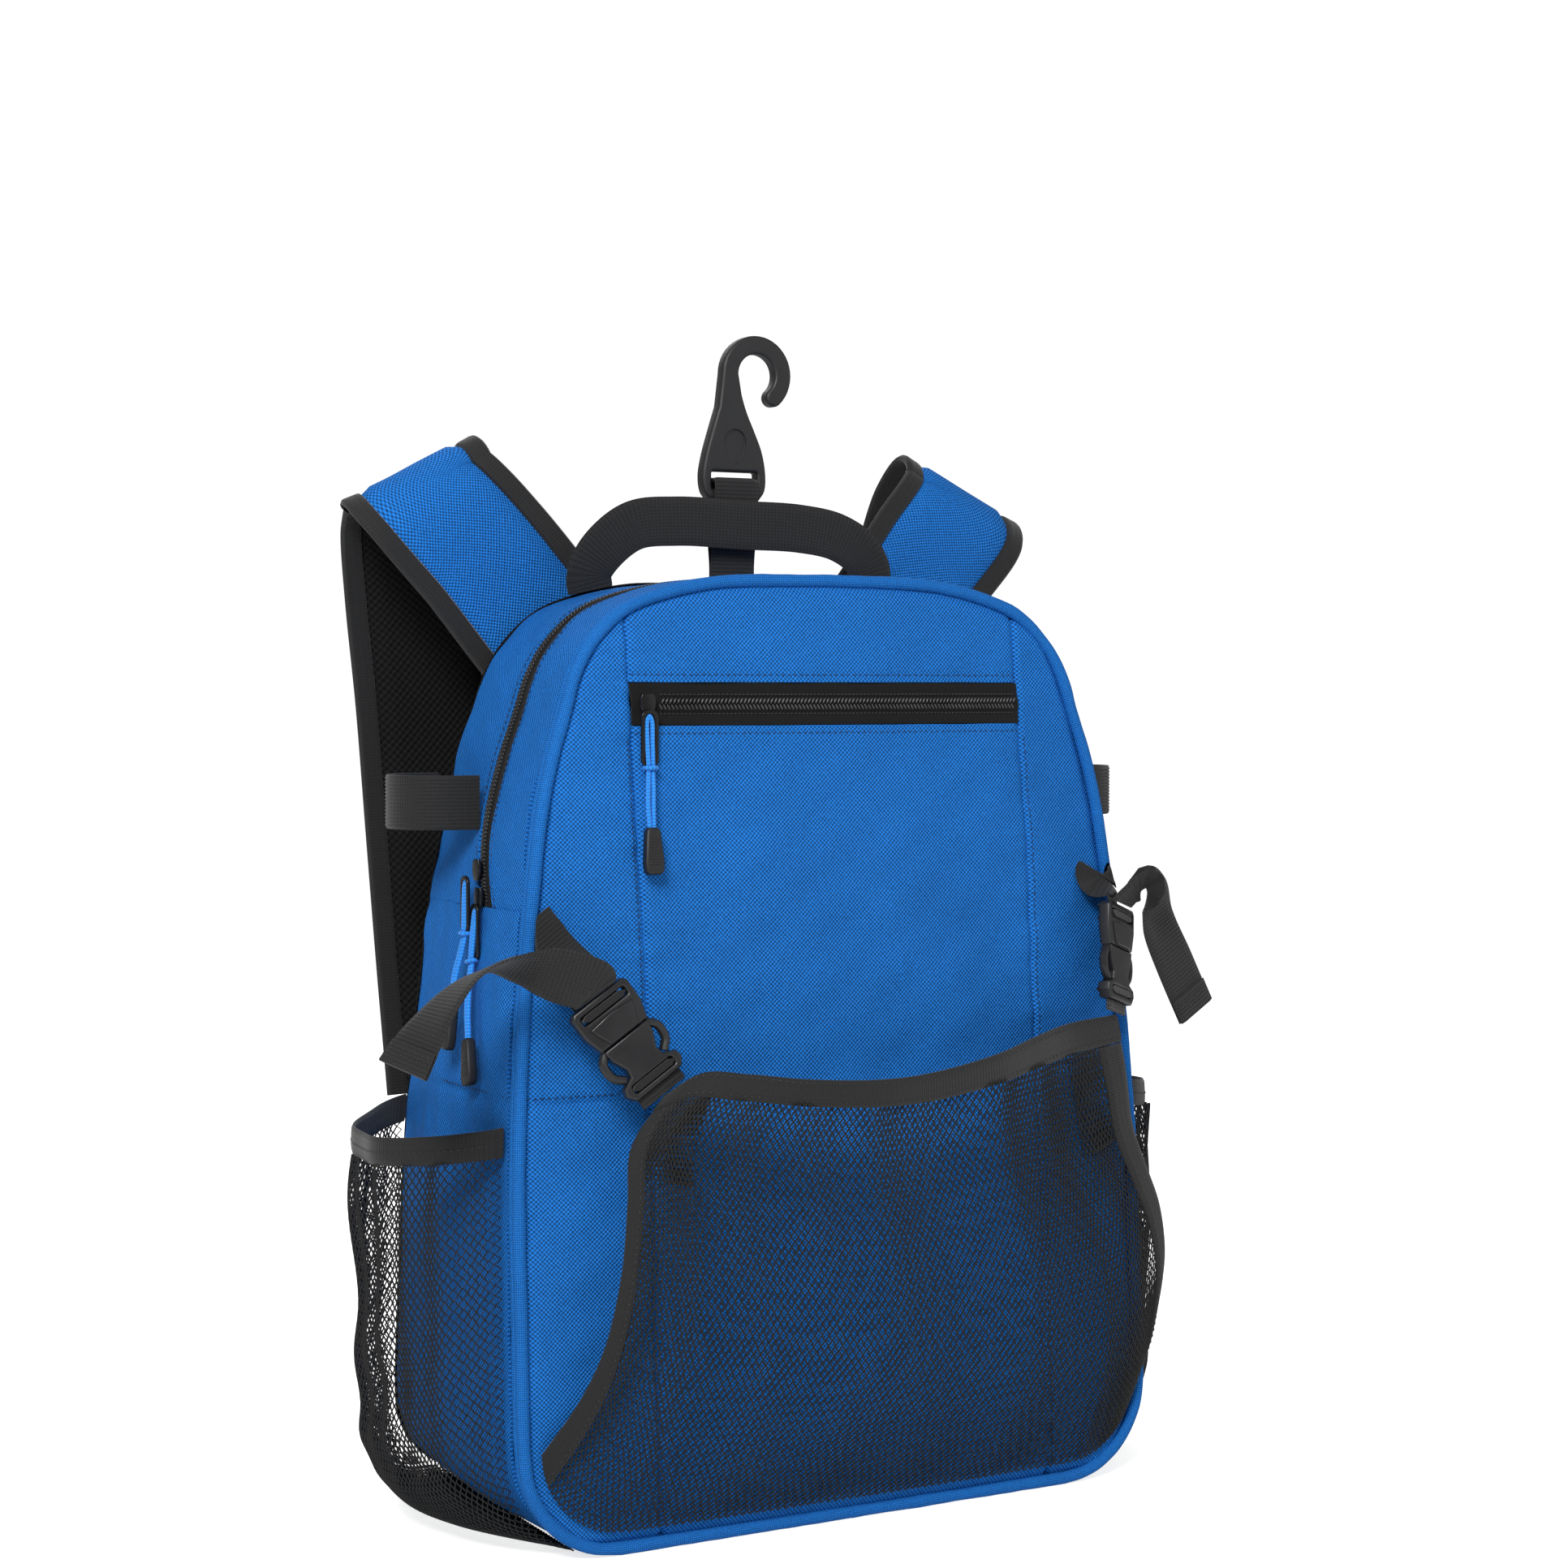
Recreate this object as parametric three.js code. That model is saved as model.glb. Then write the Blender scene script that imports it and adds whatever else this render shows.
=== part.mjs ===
// Baseball bat backpack: a soft bag with net pockets, bat loops, buckled front net and padded straps.
// Millimetres. +Z is up, the front faces -Y, and left and right are as seen from the front.
import * as THREE from 'three';

// Main body
const bagHeight = 457;
const bagHalfWidth = 174;
const cornerRadius = 50;
const depthAtTop = 96;
const frontLean = 25;
const backLean = 44;
const clothThickness = 2.2;
const seamGap = 0.3;
const pipingRadius = 3;
const edgeRollRadius = 2.5;
const frontSwell = 12;
const sideSwell = 5;
const chordSlack = 0.8;
const panelInset = 2 * pipingRadius + seamGap + chordSlack;
const gussetInset = 2;
const baseThickness = 3;
const backThickness = 6;
const backCrown = 3;

// Front panel seams and zipped pocket
const seamLowLeft = 102;
const seamHighLeft = 110;
const seamLowRight = 114;
const seamHighRight = 106;
const pocketZipDrop = 63;
const pocketZipHeight = bagHeight - pocketZipDrop;
const pocketZipWidth = 20;
const zipTapeThickness = 1.4;

// Main zip round the gusset
const mainZipWidth = 12;
const mainZipEndHeight = 298;
const mainZipShare = 0.47;
const mainZipDip = 0.12;
const mainZipDipHeight = 45;

// Webbing and elastic
const webbingWidth = 25;
const webbingThickness = 1.8;
const elasticWidth = 26;
const elasticThickness = 2;
const bindingThickness = 2.4;

// Net pockets
const netThickness = 1.2;
const netBindingWidth = 15;
const netRimHeight = 13;
const frontNetHeight = 220;
const frontNetReach = 62;
const frontNetSwell = 12;
const sidePocketHeight = 200;
const sidePocketReach = 43;
const sidePocketSag = 8;

// Shoulder straps
const padWidth = 57;
const padThickness = 6;
const padBindingWidth = 11.5;
const padBindingThickness = 4.4;
const strapReach = 54;

// Hanging hook
const hookThickness = 8;
const hookInnerRadius = 10.5;
const hookRodWidth = 9.5;
const hookCrookHeight = 106;
const hookBarHeight = 41;
const hookBarWidth = 5.5;
const hookSlotHeight = 9;
const hookCentre = -1.7;
const hookHalfWidth = 20;
const hookCrookCentre = 11.5;

// Handle and elastic loops
const handleRise = 29;
const handleFootLeft = 83;
const handleFootRight = 77;
const elasticLoopHeight = 347;
const elasticLoopHalfSpan = 25;
const elasticLoopReach = 50;

// Zip pulls
const cordRadius = 1.3;
const cordTipLength = 22;
const cordTipWidth = 10;
const cordTipThickness = 5;
const pullTabLength = 27;
const pullTabWidth = 9;
const pullTabThickness = 1.6;
const pullTabFlat = 0.6;
const sliderLength = 10;
const sliderWidth = 8;
const sliderThickness = 3.5;
const sliderLift = 1;

// The side of the outline, in shares of bagHeight and bagHalfWidth
const sideOutline = [
  { up: 0.25, out: 1.0 },
  { up: 0.37, out: 0.998 },
  { up: 0.497, out: 0.981 },
  { up: 0.573, out: 0.964 },
  { up: 0.665, out: 0.938 },
  { up: 0.759, out: 0.902 },
  { up: 0.812, out: 0.868 },
  { up: 0.853, out: 0.832 },
  { up: 0.893, out: 0.799 },
  { up: 0.928, out: 0.747 },
  { up: 0.963, out: 0.649 },
  { up: 0.98, out: 0.546 },
  { up: 0.9956, out: 0.356 },
  { up: 1.0, out: 0.0 },
];

const vec = (x, y, z) => new THREE.Vector3(x, y, z);
const lerp = THREE.MathUtils.lerp;
const clamp = THREE.MathUtils.clamp;
const mixVec = (from, to, share) => from.clone().lerp(to, share);

const colours = {
  blue: { color: 0x1c5cae, roughness: 0.85, metalness: 0 },
  black: { color: 0x232323, roughness: 0.9, metalness: 0 },
  net: { color: 0x1b1b1b, roughness: 0.9, metalness: 0 },
  plastic: { color: 0x2e2e30, roughness: 0.45, metalness: 0 },
  cord: { color: 0x1e82dc, roughness: 0.7, metalness: 0 },
  metal: { color: 0x1d1d1f, roughness: 0.35, metalness: 0.6 },
};
const bag = new THREE.Group();

function addPiece(name, geometry, finish) {
  const mesh = new THREE.Mesh(geometry, new THREE.MeshStandardMaterial(colours[finish]));
  mesh.name = name;
  bag.add(mesh);
  return mesh;
}

// The half outline as a fine line of points, each with its share of the way from foot to crown
function traceHalfOutline() {
  const flat = bagHalfWidth - cornerRadius;
  const knots = [];
  const cornerSteps = 6;
  for (let i = 0; i <= cornerSteps; i++) {
    const angle = (Math.PI / 2) * (i / cornerSteps);
    knots.push(vec(flat + cornerRadius * Math.sin(angle), 0, cornerRadius * (1 - Math.cos(angle))));
  }
  for (const row of sideOutline) {
    knots.push(vec(row.out * bagHalfWidth, 0, row.up * bagHeight));
  }
  const curve = new THREE.CatmullRomCurve3(knots, false, 'centripetal');
  const points = [vec(0, 0, 0), ...curve.getPoints(160)];
  const travelled = [0];
  for (let i = 1; i < points.length; i++) {
    travelled.push(travelled[i - 1] + points[i].distanceTo(points[i - 1]));
  }
  const total = travelled[travelled.length - 1];
  return points.map((point, i) => ({ x: point.x, z: point.z, share: travelled[i] / total }));
}

const halfOutline = traceHalfOutline();
const cornerShare = halfOutline[1].share;

// A point of the outline: way runs from -1, the crown by the left side, through 0, the foot, to 1
function rim(way, inset) {
  const share = Math.min(Math.abs(way), 1);
  let next = halfOutline.findIndex((point) => point.share >= share);
  next = Math.max(next, 1);
  const from = halfOutline[next - 1];
  const to = halfOutline[next];
  const part = (share - from.share) / (to.share - from.share);
  const length = Math.hypot(to.x - from.x, to.z - from.z);
  const tangent = { x: (to.x - from.x) / length, z: (to.z - from.z) / length };
  const side = way < 0 ? -1 : 1;
  return {
    x: side * (lerp(from.x, to.x, part) - tangent.z * inset),
    z: lerp(from.z, to.z, part) + tangent.x * inset,
  };
}

// Where the inset outline has a given height on its side, and a given half width on its arch
function wayAtHeight(height, inset) {
  let low = cornerShare;
  let high = 1;
  for (let i = 0; i < 30; i++) {
    const middle = (low + high) / 2;
    if (rim(middle, inset).z < height) low = middle;
    else high = middle;
  }
  return (low + high) / 2;
}

function wayAtHalfWidth(halfWidth, inset) {
  let low = 0.5;
  let high = 1;
  for (let i = 0; i < 30; i++) {
    const middle = (low + high) / 2;
    if (rim(middle, inset).x > halfWidth) low = middle;
    else high = middle;
  }
  return (low + high) / 2;
}

const halfWidthAt = (height, inset) => rim(wayAtHeight(height, inset), inset).x;
const archAt = (across, inset) => rim(wayAtHalfWidth(Math.abs(across), inset), inset).z;

const frontPlane = (z) => -frontLean * (1 - z / bagHeight);
const backPlane = (z) => depthAtTop + backLean * (1 - z / bagHeight);
const depthAt = (z) => backPlane(z) - frontPlane(z);

function dome(x, z) {
  const sideways = x / halfWidthAt(clamp(z, 1, bagHeight - 1), 0);
  const upright = Math.sin(Math.PI * clamp(z / bagHeight, 0, 1));
  return Math.max(0, 1 - sideways * sideways) * Math.pow(Math.max(upright, 0), 0.6);
}

const frontFace = (x, z, lift) => vec(x, frontPlane(z) - frontSwell * dome(x, z) - lift, z);
const backFace = (x, z, lift) => vec(x, backPlane(z) + backThickness + backCrown * dome(x, z) + lift, z);

// A closed wall: pointAt(u, v, side) gives its outer (side 0) and inner (side 1) surfaces
function wall(stepsU, stepsV, pointAt) {
  const positions = [];
  const index = [];
  const at = (i, j, side) => (side * (stepsU + 1) + i) * (stepsV + 1) + j;
  for (let side = 0; side <= 1; side++) {
    for (let i = 0; i <= stepsU; i++) {
      for (let j = 0; j <= stepsV; j++) {
        positions.push(...pointAt(i / stepsU, j / stepsV, side).toArray());
      }
    }
  }
  const quad = (a, b, c, d) => index.push(a, b, c, a, c, d);
  for (let i = 0; i < stepsU; i++) {
    for (let j = 0; j < stepsV; j++) {
      quad(at(i, j, 0), at(i + 1, j, 0), at(i + 1, j + 1, 0), at(i, j + 1, 0));
      quad(at(i, j + 1, 1), at(i + 1, j + 1, 1), at(i + 1, j, 1), at(i, j, 1));
    }
    quad(at(i + 1, 0, 0), at(i, 0, 0), at(i, 0, 1), at(i + 1, 0, 1));
    quad(at(i, stepsV, 0), at(i + 1, stepsV, 0), at(i + 1, stepsV, 1), at(i, stepsV, 1));
  }
  for (let j = 0; j < stepsV; j++) {
    quad(at(0, j, 0), at(0, j + 1, 0), at(0, j + 1, 1), at(0, j, 1));
    quad(at(stepsU, j + 1, 0), at(stepsU, j, 0), at(stepsU, j, 1), at(stepsU, j + 1, 1));
  }
  return outwardGeometry(positions, index);
}

function outwardGeometry(positions, index) {
  let volume = 0;
  const corner = (i) => vec(...positions.slice(3 * i, 3 * i + 3));
  for (let i = 0; i < index.length; i += 3) {
    const [a, b, c] = [corner(index[i]), corner(index[i + 1]), corner(index[i + 2])];
    volume += a.dot(b.cross(c));
  }
  if (volume < 0) index.reverse();
  const geometry = new THREE.BufferGeometry();
  geometry.setAttribute('position', new THREE.Float32BufferAttribute(positions, 3));
  geometry.setIndex(index);
  geometry.computeVertexNormals();
  return geometry;
}

// A flat band that follows stations of { at, across }, set off sideways by shift
function band(stations, width, thickness, steps, { shift = 0, crown = 0, divisions = 1 } = {}) {
  const spine = new THREE.CatmullRomCurve3(stations.map((station) => station.at));
  const lean = new THREE.CatmullRomCurve3(stations.map((station) => station.across));
  return wall(steps, divisions, (u, v, side) => {
    const along = spine.getTangent(u);
    const across = lean.getPoint(u);
    across.addScaledVector(along, -across.dot(along)).normalize();
    const normal = along.clone().cross(across);
    const half = thickness / 2 + crown * (1 - Math.pow(2 * v - 1, 2));
    return spine
      .getPoint(u)
      .addScaledVector(across, shift + (v - 0.5) * width)
      .addScaledVector(normal, side === 0 ? half : -half);
  });
}

function tube(points, radius, sides, steps) {
  const ring = [];
  for (let i = 0; i < sides; i++) {
    const angle = (2 * Math.PI * i) / sides;
    ring.push(new THREE.Vector2(radius * Math.cos(angle), radius * Math.sin(angle)));
  }
  const extrudePath = new THREE.CatmullRomCurve3(points);
  return new THREE.ExtrudeGeometry(new THREE.Shape(ring), { steps, extrudePath, bevelEnabled: false });
}

function plate(shape, thickness, curveSegments = 6) {
  const geometry = new THREE.ExtrudeGeometry(shape, { depth: thickness, bevelEnabled: false, curveSegments });
  return geometry.translate(0, 0, -thickness / 2);
}

function roundedRectangle(width, length, radius, Outline = THREE.Shape) {
  const outline = new Outline();
  const [x, y] = [width / 2, length / 2];
  outline.absarc(x - radius, y - radius, radius, 0, Math.PI / 2);
  outline.absarc(radius - x, y - radius, radius, Math.PI / 2, Math.PI);
  outline.absarc(radius - x, radius - y, radius, Math.PI, 1.5 * Math.PI);
  outline.absarc(x - radius, radius - y, radius, 1.5 * Math.PI, 2 * Math.PI);
  outline.closePath();
  return outline;
}

// Places a piece by its centre, the direction of its length and the direction of its width
function place(mesh, centre, along, across) {
  const length = along.clone().normalize();
  const width = across.clone().addScaledVector(length, -across.dot(length)).normalize();
  const facing = width.clone().cross(length);
  mesh.quaternion.setFromRotationMatrix(new THREE.Matrix4().makeBasis(width, length, facing));
  mesh.position.copy(centre);
  return mesh;
}

// Front panels between the seams
const seamLeft = (z) => -lerp(seamLowLeft, seamHighLeft, z / bagHeight);
const seamRight = (z) => lerp(seamLowRight, seamHighRight, z / bagHeight);

function frontPatch(name, finish, bottomAt, topAt, rows, lift = 0, thickness = clothThickness) {
  const columns = 12;
  const geometry = wall(columns, rows, (u, v, side) => {
    const guess = lerp(seamLeft(bagHeight), seamRight(bagHeight), u);
    const z = lerp(bottomAt(guess), topAt(guess), v);
    const x = lerp(seamLeft(z) + seamGap, seamRight(z) - seamGap, u);
    return frontFace(x, z, lift - side * thickness);
  });
  return addPiece(name, geometry, finish);
}

function buildFront() {
  const zipTop = pocketZipHeight + pocketZipWidth / 2;
  const zipBottom = pocketZipHeight - pocketZipWidth / 2;
  const arch = (x) => archAt(x, panelInset);
  frontPatch('front_top_panel', 'blue', () => zipTop + seamGap, arch, 3);
  frontPatch('pocket_zip_tape', 'black', () => zipBottom, () => zipTop, 1, -0.6, zipTapeThickness);
  frontPatch('front_pocket_panel', 'blue', () => panelInset, () => zipBottom - seamGap, 9);
  for (const side of [-1, 1]) {
    const seam = side < 0 ? seamLeft : seamRight;
    const tip = wayAtHalfWidth(Math.abs(seam(bagHeight)) + 3, panelInset);
    const geometry = wall(20, 3, (u, v, inner) => {
      const edge = rim(side * lerp(cornerShare, tip, u), panelInset);
      const x = lerp(edge.x, seam(edge.z) + side * seamGap, v);
      return frontFace(x, edge.z, -inner * clothThickness);
    });
    addPiece(side < 0 ? 'front_side_left' : 'front_side_right', geometry, 'blue');
  }
}

// The two round ridges along the front seam, joined at the foot
function buildPiping() {
  const edges = [
    { name: 'front_piping', radius: pipingRadius, behind: 0, steps: 68, sides: 6 },
    {
      name: 'gusset_edge_roll',
      radius: edgeRollRadius,
      behind: pipingRadius + seamGap + edgeRollRadius,
      steps: 56,
      sides: 5,
    },
  ];
  for (const { name, radius, behind, steps, sides } of edges) {
    const points = [];
    const joint = 0.003;
    for (let i = 0; i <= steps; i++) {
      const turn = lerp(joint, 2 - joint, i / steps);
      const { x, z } = rim(turn < 1 ? turn : turn - 2, pipingRadius + seamGap / 2);
      points.push(vec(x, frontPlane(z) + behind, z));
    }
    addPiece(name, tube(points, radius, sides, steps), 'blue');
  }
}

// Gusset: behind is the distance behind the front seam
const gussetFront = pipingRadius + 2 * (edgeRollRadius + seamGap);

function gussetPoint(way, behind, inner, thickness, sink = 0) {
  const base = rim(way, gussetInset);
  const share = behind / depthAt(base.z);
  const lowSide = clamp((bagHeight - base.z) / bagHeight, 0, 1) * clamp(base.z / cornerRadius, 0, 1);
  const swell = 2 * sideSwell * lowSide * Math.sin(Math.PI * clamp(share, 0, 1));
  const { x, z } = rim(way, gussetInset - swell + sink + inner * thickness);
  return vec(x, frontPlane(base.z) + behind, z);
}

// How far the gusset's outer surface stands from the bag's middle plane
function gussetReach(z, behind) {
  return gussetPoint(wayAtHeight(Math.max(z, gussetInset + 2), gussetInset), behind, 0, 0).x;
}

function zipBehind(way) {
  const { z } = rim(way, gussetInset);
  const low = clamp((mainZipEndHeight + mainZipDipHeight - z) / mainZipDipHeight, 0, 1);
  return depthAt(z) * (mainZipShare - mainZipDip * low * low);
}

const mainZipEnd = wayAtHeight(mainZipEndHeight, gussetInset);
const gussetBackEdge = (way) => depthAt(rim(way, gussetInset).z) - seamGap;

function overTop(u) {
  const turn = lerp(mainZipEnd, 2 - mainZipEnd, u);
  return turn < 1 ? turn : turn - 2;
}

function buildGusset() {
  const strips = [
    {
      name: 'gusset_front',
      finish: 'blue',
      from: () => gussetFront,
      to: (way) => zipBehind(way) - mainZipWidth / 2 - seamGap,
      columns: 2,
      thickness: clothThickness,
      sink: 0,
    },
    {
      name: 'main_zip_tape',
      finish: 'black',
      from: (way) => zipBehind(way) - mainZipWidth / 2,
      to: (way) => zipBehind(way) + mainZipWidth / 2,
      columns: 1,
      thickness: zipTapeThickness,
      sink: 0.5,
    },
    {
      name: 'gusset_back',
      finish: 'blue',
      from: (way) => zipBehind(way) + mainZipWidth / 2 + seamGap,
      to: gussetBackEdge,
      columns: 2,
      thickness: clothThickness,
      sink: 0,
    },
  ];
  for (const { name, finish, from, to, columns, thickness, sink } of strips) {
    const geometry = wall(36, columns, (u, v, side) => {
      const way = overTop(u);
      return gussetPoint(way, lerp(from(way), to(way), v), side, thickness, sink);
    });
    addPiece(name, geometry, finish);
  }
  for (const side of [-1, 1]) {
    const geometry = wall(12, 5, (u, v, inner) => {
      const way = side * lerp(mainZipEnd - 0.001, cornerShare, u);
      return gussetPoint(way, lerp(gussetFront, gussetBackEdge(way), v), inner, clothThickness);
    });
    addPiece(side < 0 ? 'gusset_side_left' : 'gusset_side_right', geometry, 'blue');
  }
  const base = wall(1, 1, (u, v, side) => {
    const reach = bagHalfWidth - cornerRadius - seamGap;
    const y = lerp(frontPlane(0) + gussetFront, backPlane(0) - seamGap, v);
    return vec(lerp(-reach, reach, u), y, side * baseThickness);
  });
  addPiece('base_panel', base, 'blue');
}

function buildBack() {
  const inset = 1;
  const last = wayAtHalfWidth(bagHalfWidth * 0.3, inset);
  const geometry = wall(14, 8, (u, v, side) => {
    const edge = rim(lerp(cornerShare, last, u), inset);
    const x = lerp(-edge.x, edge.x, v);
    return side === 0 ? backFace(x, edge.z, 0) : vec(x, backPlane(edge.z), edge.z);
  });
  addPiece('back_panel', geometry, 'black');
}

// Zip pulls: a slider on the coil, a long ring through it, a knotted cord and a moulded tip
function buildPull(prefix, head, outward, stack) {
  const down = vec(0, 0, -1);
  const across = outward.clone().cross(down);
  const seat = head.clone().addScaledVector(outward, sliderThickness / 2 + sliderLift);
  const slider = plate(roundedRectangle(sliderWidth, sliderLength, 2), sliderThickness, 2);
  place(addPiece(`${prefix}_slider`, slider, 'metal'), seat, down, across);
  const ringShape = roundedRectangle(pullTabWidth, pullTabLength, pullTabWidth / 2 - pullTabFlat);
  const wire = 2;
  const hole = roundedRectangle(
    pullTabWidth - 2 * wire,
    pullTabLength - 2 * wire,
    pullTabWidth / 2 - wire - pullTabFlat,
    THREE.Path,
  );
  ringShape.holes.push(hole);
  const tabLift = sliderLift + sliderThickness + seamGap + pullTabThickness / 2 + stack;
  const tabCentre = head
    .clone()
    .addScaledVector(outward, tabLift)
    .addScaledVector(down, pullTabLength / 2 + sliderLength / 4);
  const tab = plate(ringShape, pullTabThickness, 2);
  place(addPiece(`${prefix}_tab`, tab, 'metal'), tabCentre, down, across);
}

function buildPullCord(prefix, route, tipCentre, along, across) {
  addPiece(`${prefix}_cord`, tube(route, cordRadius * 1.5, 8, 9), 'cord');
  const tip = new THREE.Shape();
  const [top, low] = [cordTipWidth * 0.36, cordTipWidth / 2];
  tip.moveTo(-top, -cordTipLength / 2);
  tip.lineTo(top, -cordTipLength / 2);
  tip.lineTo(low, cordTipLength * 0.25);
  tip.lineTo(low - 1, cordTipLength / 2);
  tip.lineTo(1 - low, cordTipLength / 2);
  tip.lineTo(-low, cordTipLength * 0.25);
  tip.closePath();
  const geometry = plate(tip, cordTipThickness, 2);
  place(addPiece(`${prefix}_cord_tip`, geometry, 'plastic'), tipCentre, along, across);
}

// Routes of the pull cords, from the ring's lower end to the tip, as offsets from the slider's seat
const pullRoutes = {
  pocket_zip: [vec(-0.1, -6.8, -30.2), vec(-1.1, -9.1, -39), vec(-2.1, -11.1, -48), vec(-2.1, -12.1, -57)],
  main_zip_upper: [vec(-9.9, 0, -30.2), vec(-11.8, 1, -39.5), vec(-14.3, 2, -50.5), vec(-15.8, 2, -62.5)],
  main_zip_lower: [vec(-7.3, 0.1, -30.2), vec(-9.5, -1.9, -40.7), vec(-11.5, -4.9, -52.7), vec(-12.5, -7.9, -64.7)],
};

function buildZipPulls() {
  const toFront = vec(0, -1, 0);
  const toLeft = vec(-1, 0, 0);
  const pocketHead = frontFace(seamLeft(pocketZipHeight) + 7, pocketZipHeight, -0.6);
  const lowerWay = -mainZipEnd - 0.006;
  const upperWay = lowerWay - 0.018;
  const lowerHead = gussetPoint(lowerWay, zipBehind(lowerWay), 0, 0);
  const upperHead = gussetPoint(upperWay, zipBehind(upperWay), 0, 0);
  const stacked = pullTabThickness + seamGap + 2.2;
  const pulls = [
    { name: 'pocket_zip', head: pocketHead, outward: toFront, stack: 0 },
    { name: 'main_zip_upper', head: upperHead, outward: toLeft, stack: stacked },
    { name: 'main_zip_lower', head: lowerHead, outward: toLeft, stack: 0 },
  ];
  for (const { name, head, outward, stack } of pulls) {
    buildPull(name, head, outward, stack);
    const route = pullRoutes[name].map((offset) => offset.clone().add(head));
    const end = route[route.length - 1];
    const along = end.clone().sub(route[route.length - 2]).normalize();
    const tipCentre = end.clone().addScaledVector(along, cordTipLength / 2 + seamGap);
    buildPullCord(name, route, tipCentre, along, outward.clone().cross(along));
  }
}

// Buckle straps that hold the front net's top corners
const buckleWidth = 33;
const buckleThickness = 8;
const adjusterLength = 22;
const socketLength = 27;
const netTabLength = 5;
const tailLift = webbingThickness + 4 * seamGap;

// Strap and buckle places: across is a share of bagHalfWidth, up of bagHeight, and out is in front of the bag
const buckles = [
  {
    word: 'left',
    turn: 0,
    root: { across: -0.874, out: 5.3, up: 0.611 },
    top: { across: -0.805, out: 22.3, up: 0.571 },
    foot: { across: -0.649, out: 31, up: 0.481 },
    tailLength: 122,
    tail: [
      { offset: vec(-0.139, -0.074, 0.082), across: vec(0.65, -0.1, 0.75) },
      { offset: vec(-0.297, -0.049, 0.128), across: vec(0.25, -0.75, 0.6) },
      { offset: vec(-0.412, -0.049, 0.139), across: vec(0.15, -0.93, 0.33) },
      { offset: vec(-0.541, -0.057, 0.09), across: vec(0.3, -0.9, 0.3) },
      { offset: vec(-0.697, -0.082, -0.057), across: vec(0.55, -0.75, 0.25) },
      { offset: vec(-0.803, -0.098, -0.213), across: vec(0.75, -0.55, 0.15) },
    ],
  },
  {
    word: 'right',
    turn: -0.55,
    root: { across: 0.862, out: 7.7, up: 0.67 },
    top: { across: 0.902, out: 12.9, up: 0.637 },
    foot: { across: 0.856, out: 21.3, up: 0.532 },
    tailLength: 98,
    tail: [
      { offset: vec(0.112, -0.071, 0.102), across: vec(0.8, 0.4, -0.3) },
      { offset: vec(0.204, -0.041, 0.061), across: vec(0.85, 0.35, 0.1) },
      { offset: vec(0.276, 0.01, -0.102), across: vec(0.86, 0.2, 0.45) },
      { offset: vec(0.388, 0.02, -0.316), across: vec(0.86, 0.1, 0.4) },
      { offset: vec(0.538, 0.041, -0.58), across: vec(0.88, 0.1, 0.35) },
    ],
  },
];

function bucklePoint({ across, out, up }) {
  return vec(across * bagHalfWidth, frontPlane(up * bagHeight) - out, up * bagHeight);
}

// Each buckle hangs in line with its strap, and its tab ends at the net's corner
function buckleLine(buckle) {
  const top = bucklePoint(buckle.top);
  const along = bucklePoint(buckle.foot).sub(top).normalize();
  const across = vec(-along.z, 0, along.x).normalize().applyAxisAngle(along, buckle.turn);
  const at = (distance) => top.clone().addScaledVector(along, distance);
  const tabStart = adjusterLength + socketLength + 2 * seamGap;
  const facing = along.clone().cross(across);
  return {
    along,
    across,
    strapBend: at(-7),
    strapEnd: at(-0.4),
    tailRoot: [
      { at: at(-1.2).addScaledVector(facing, tailLift), across },
      { at: at(-5).addScaledVector(facing, tailLift + 4), across },
    ],
    adjuster: at(adjusterLength / 2),
    socket: at(adjusterLength + seamGap + socketLength / 2),
    tab: [at(tabStart), at(tabStart + netTabLength)],
    corner: at(tabStart + netTabLength + 1.2),
  };
}

// Front net's edges: across is a share of bagHalfWidth, up of frontNetHeight and out of frontNetReach
const netLeftEdge = [
  { across: -0.954, up: 0.227, out: 0.032 },
  { across: -0.851, up: 0.345, out: 0.177 },
  { across: -0.793, up: 0.455, out: 0.29 },
  { across: -0.753, up: 0.614, out: 0.387 },
  { across: -0.741, up: 0.764, out: 0.452 },
  { across: -0.736, up: 0.877, out: 0.5 },
];
const netRightEdge = [
  { across: 0.954, up: 0.255, out: 0.032 },
  { across: 0.994, up: 0.336, out: 0.113 },
  { across: 1.029, up: 0.409, out: 0.129 },
  { across: 1.057, up: 0.518, out: 0.129 },
  { across: 1.04, up: 0.623, out: 0.145 },
  { across: 0.983, up: 0.723, out: 0.194 },
  { across: 0.931, up: 0.818, out: 0.226 },
  { across: 0.897, up: 0.945, out: 0.29 },
];
const netTopEdge = [
  { across: -0.552, up: 1.027, out: 0.677 },
  { across: -0.437, up: 1.023, out: 0.806 },
  { across: -0.287, up: 1.009, out: 0.935 },
  { across: -0.092, up: 1.0, out: 1.0 },
  { across: 0.08, up: 1.003, out: 0.952 },
  { across: 0.345, up: 1.027, out: 0.79 },
  { across: 0.506, up: 1.05, out: 0.613 },
  { across: 0.667, up: 1.068, out: 0.435 },
];

function edgePoint(row) {
  const z = row.up * frontNetHeight;
  return vec(row.across * bagHalfWidth, frontPlane(z) - row.out * frontNetReach, z);
}

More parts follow.
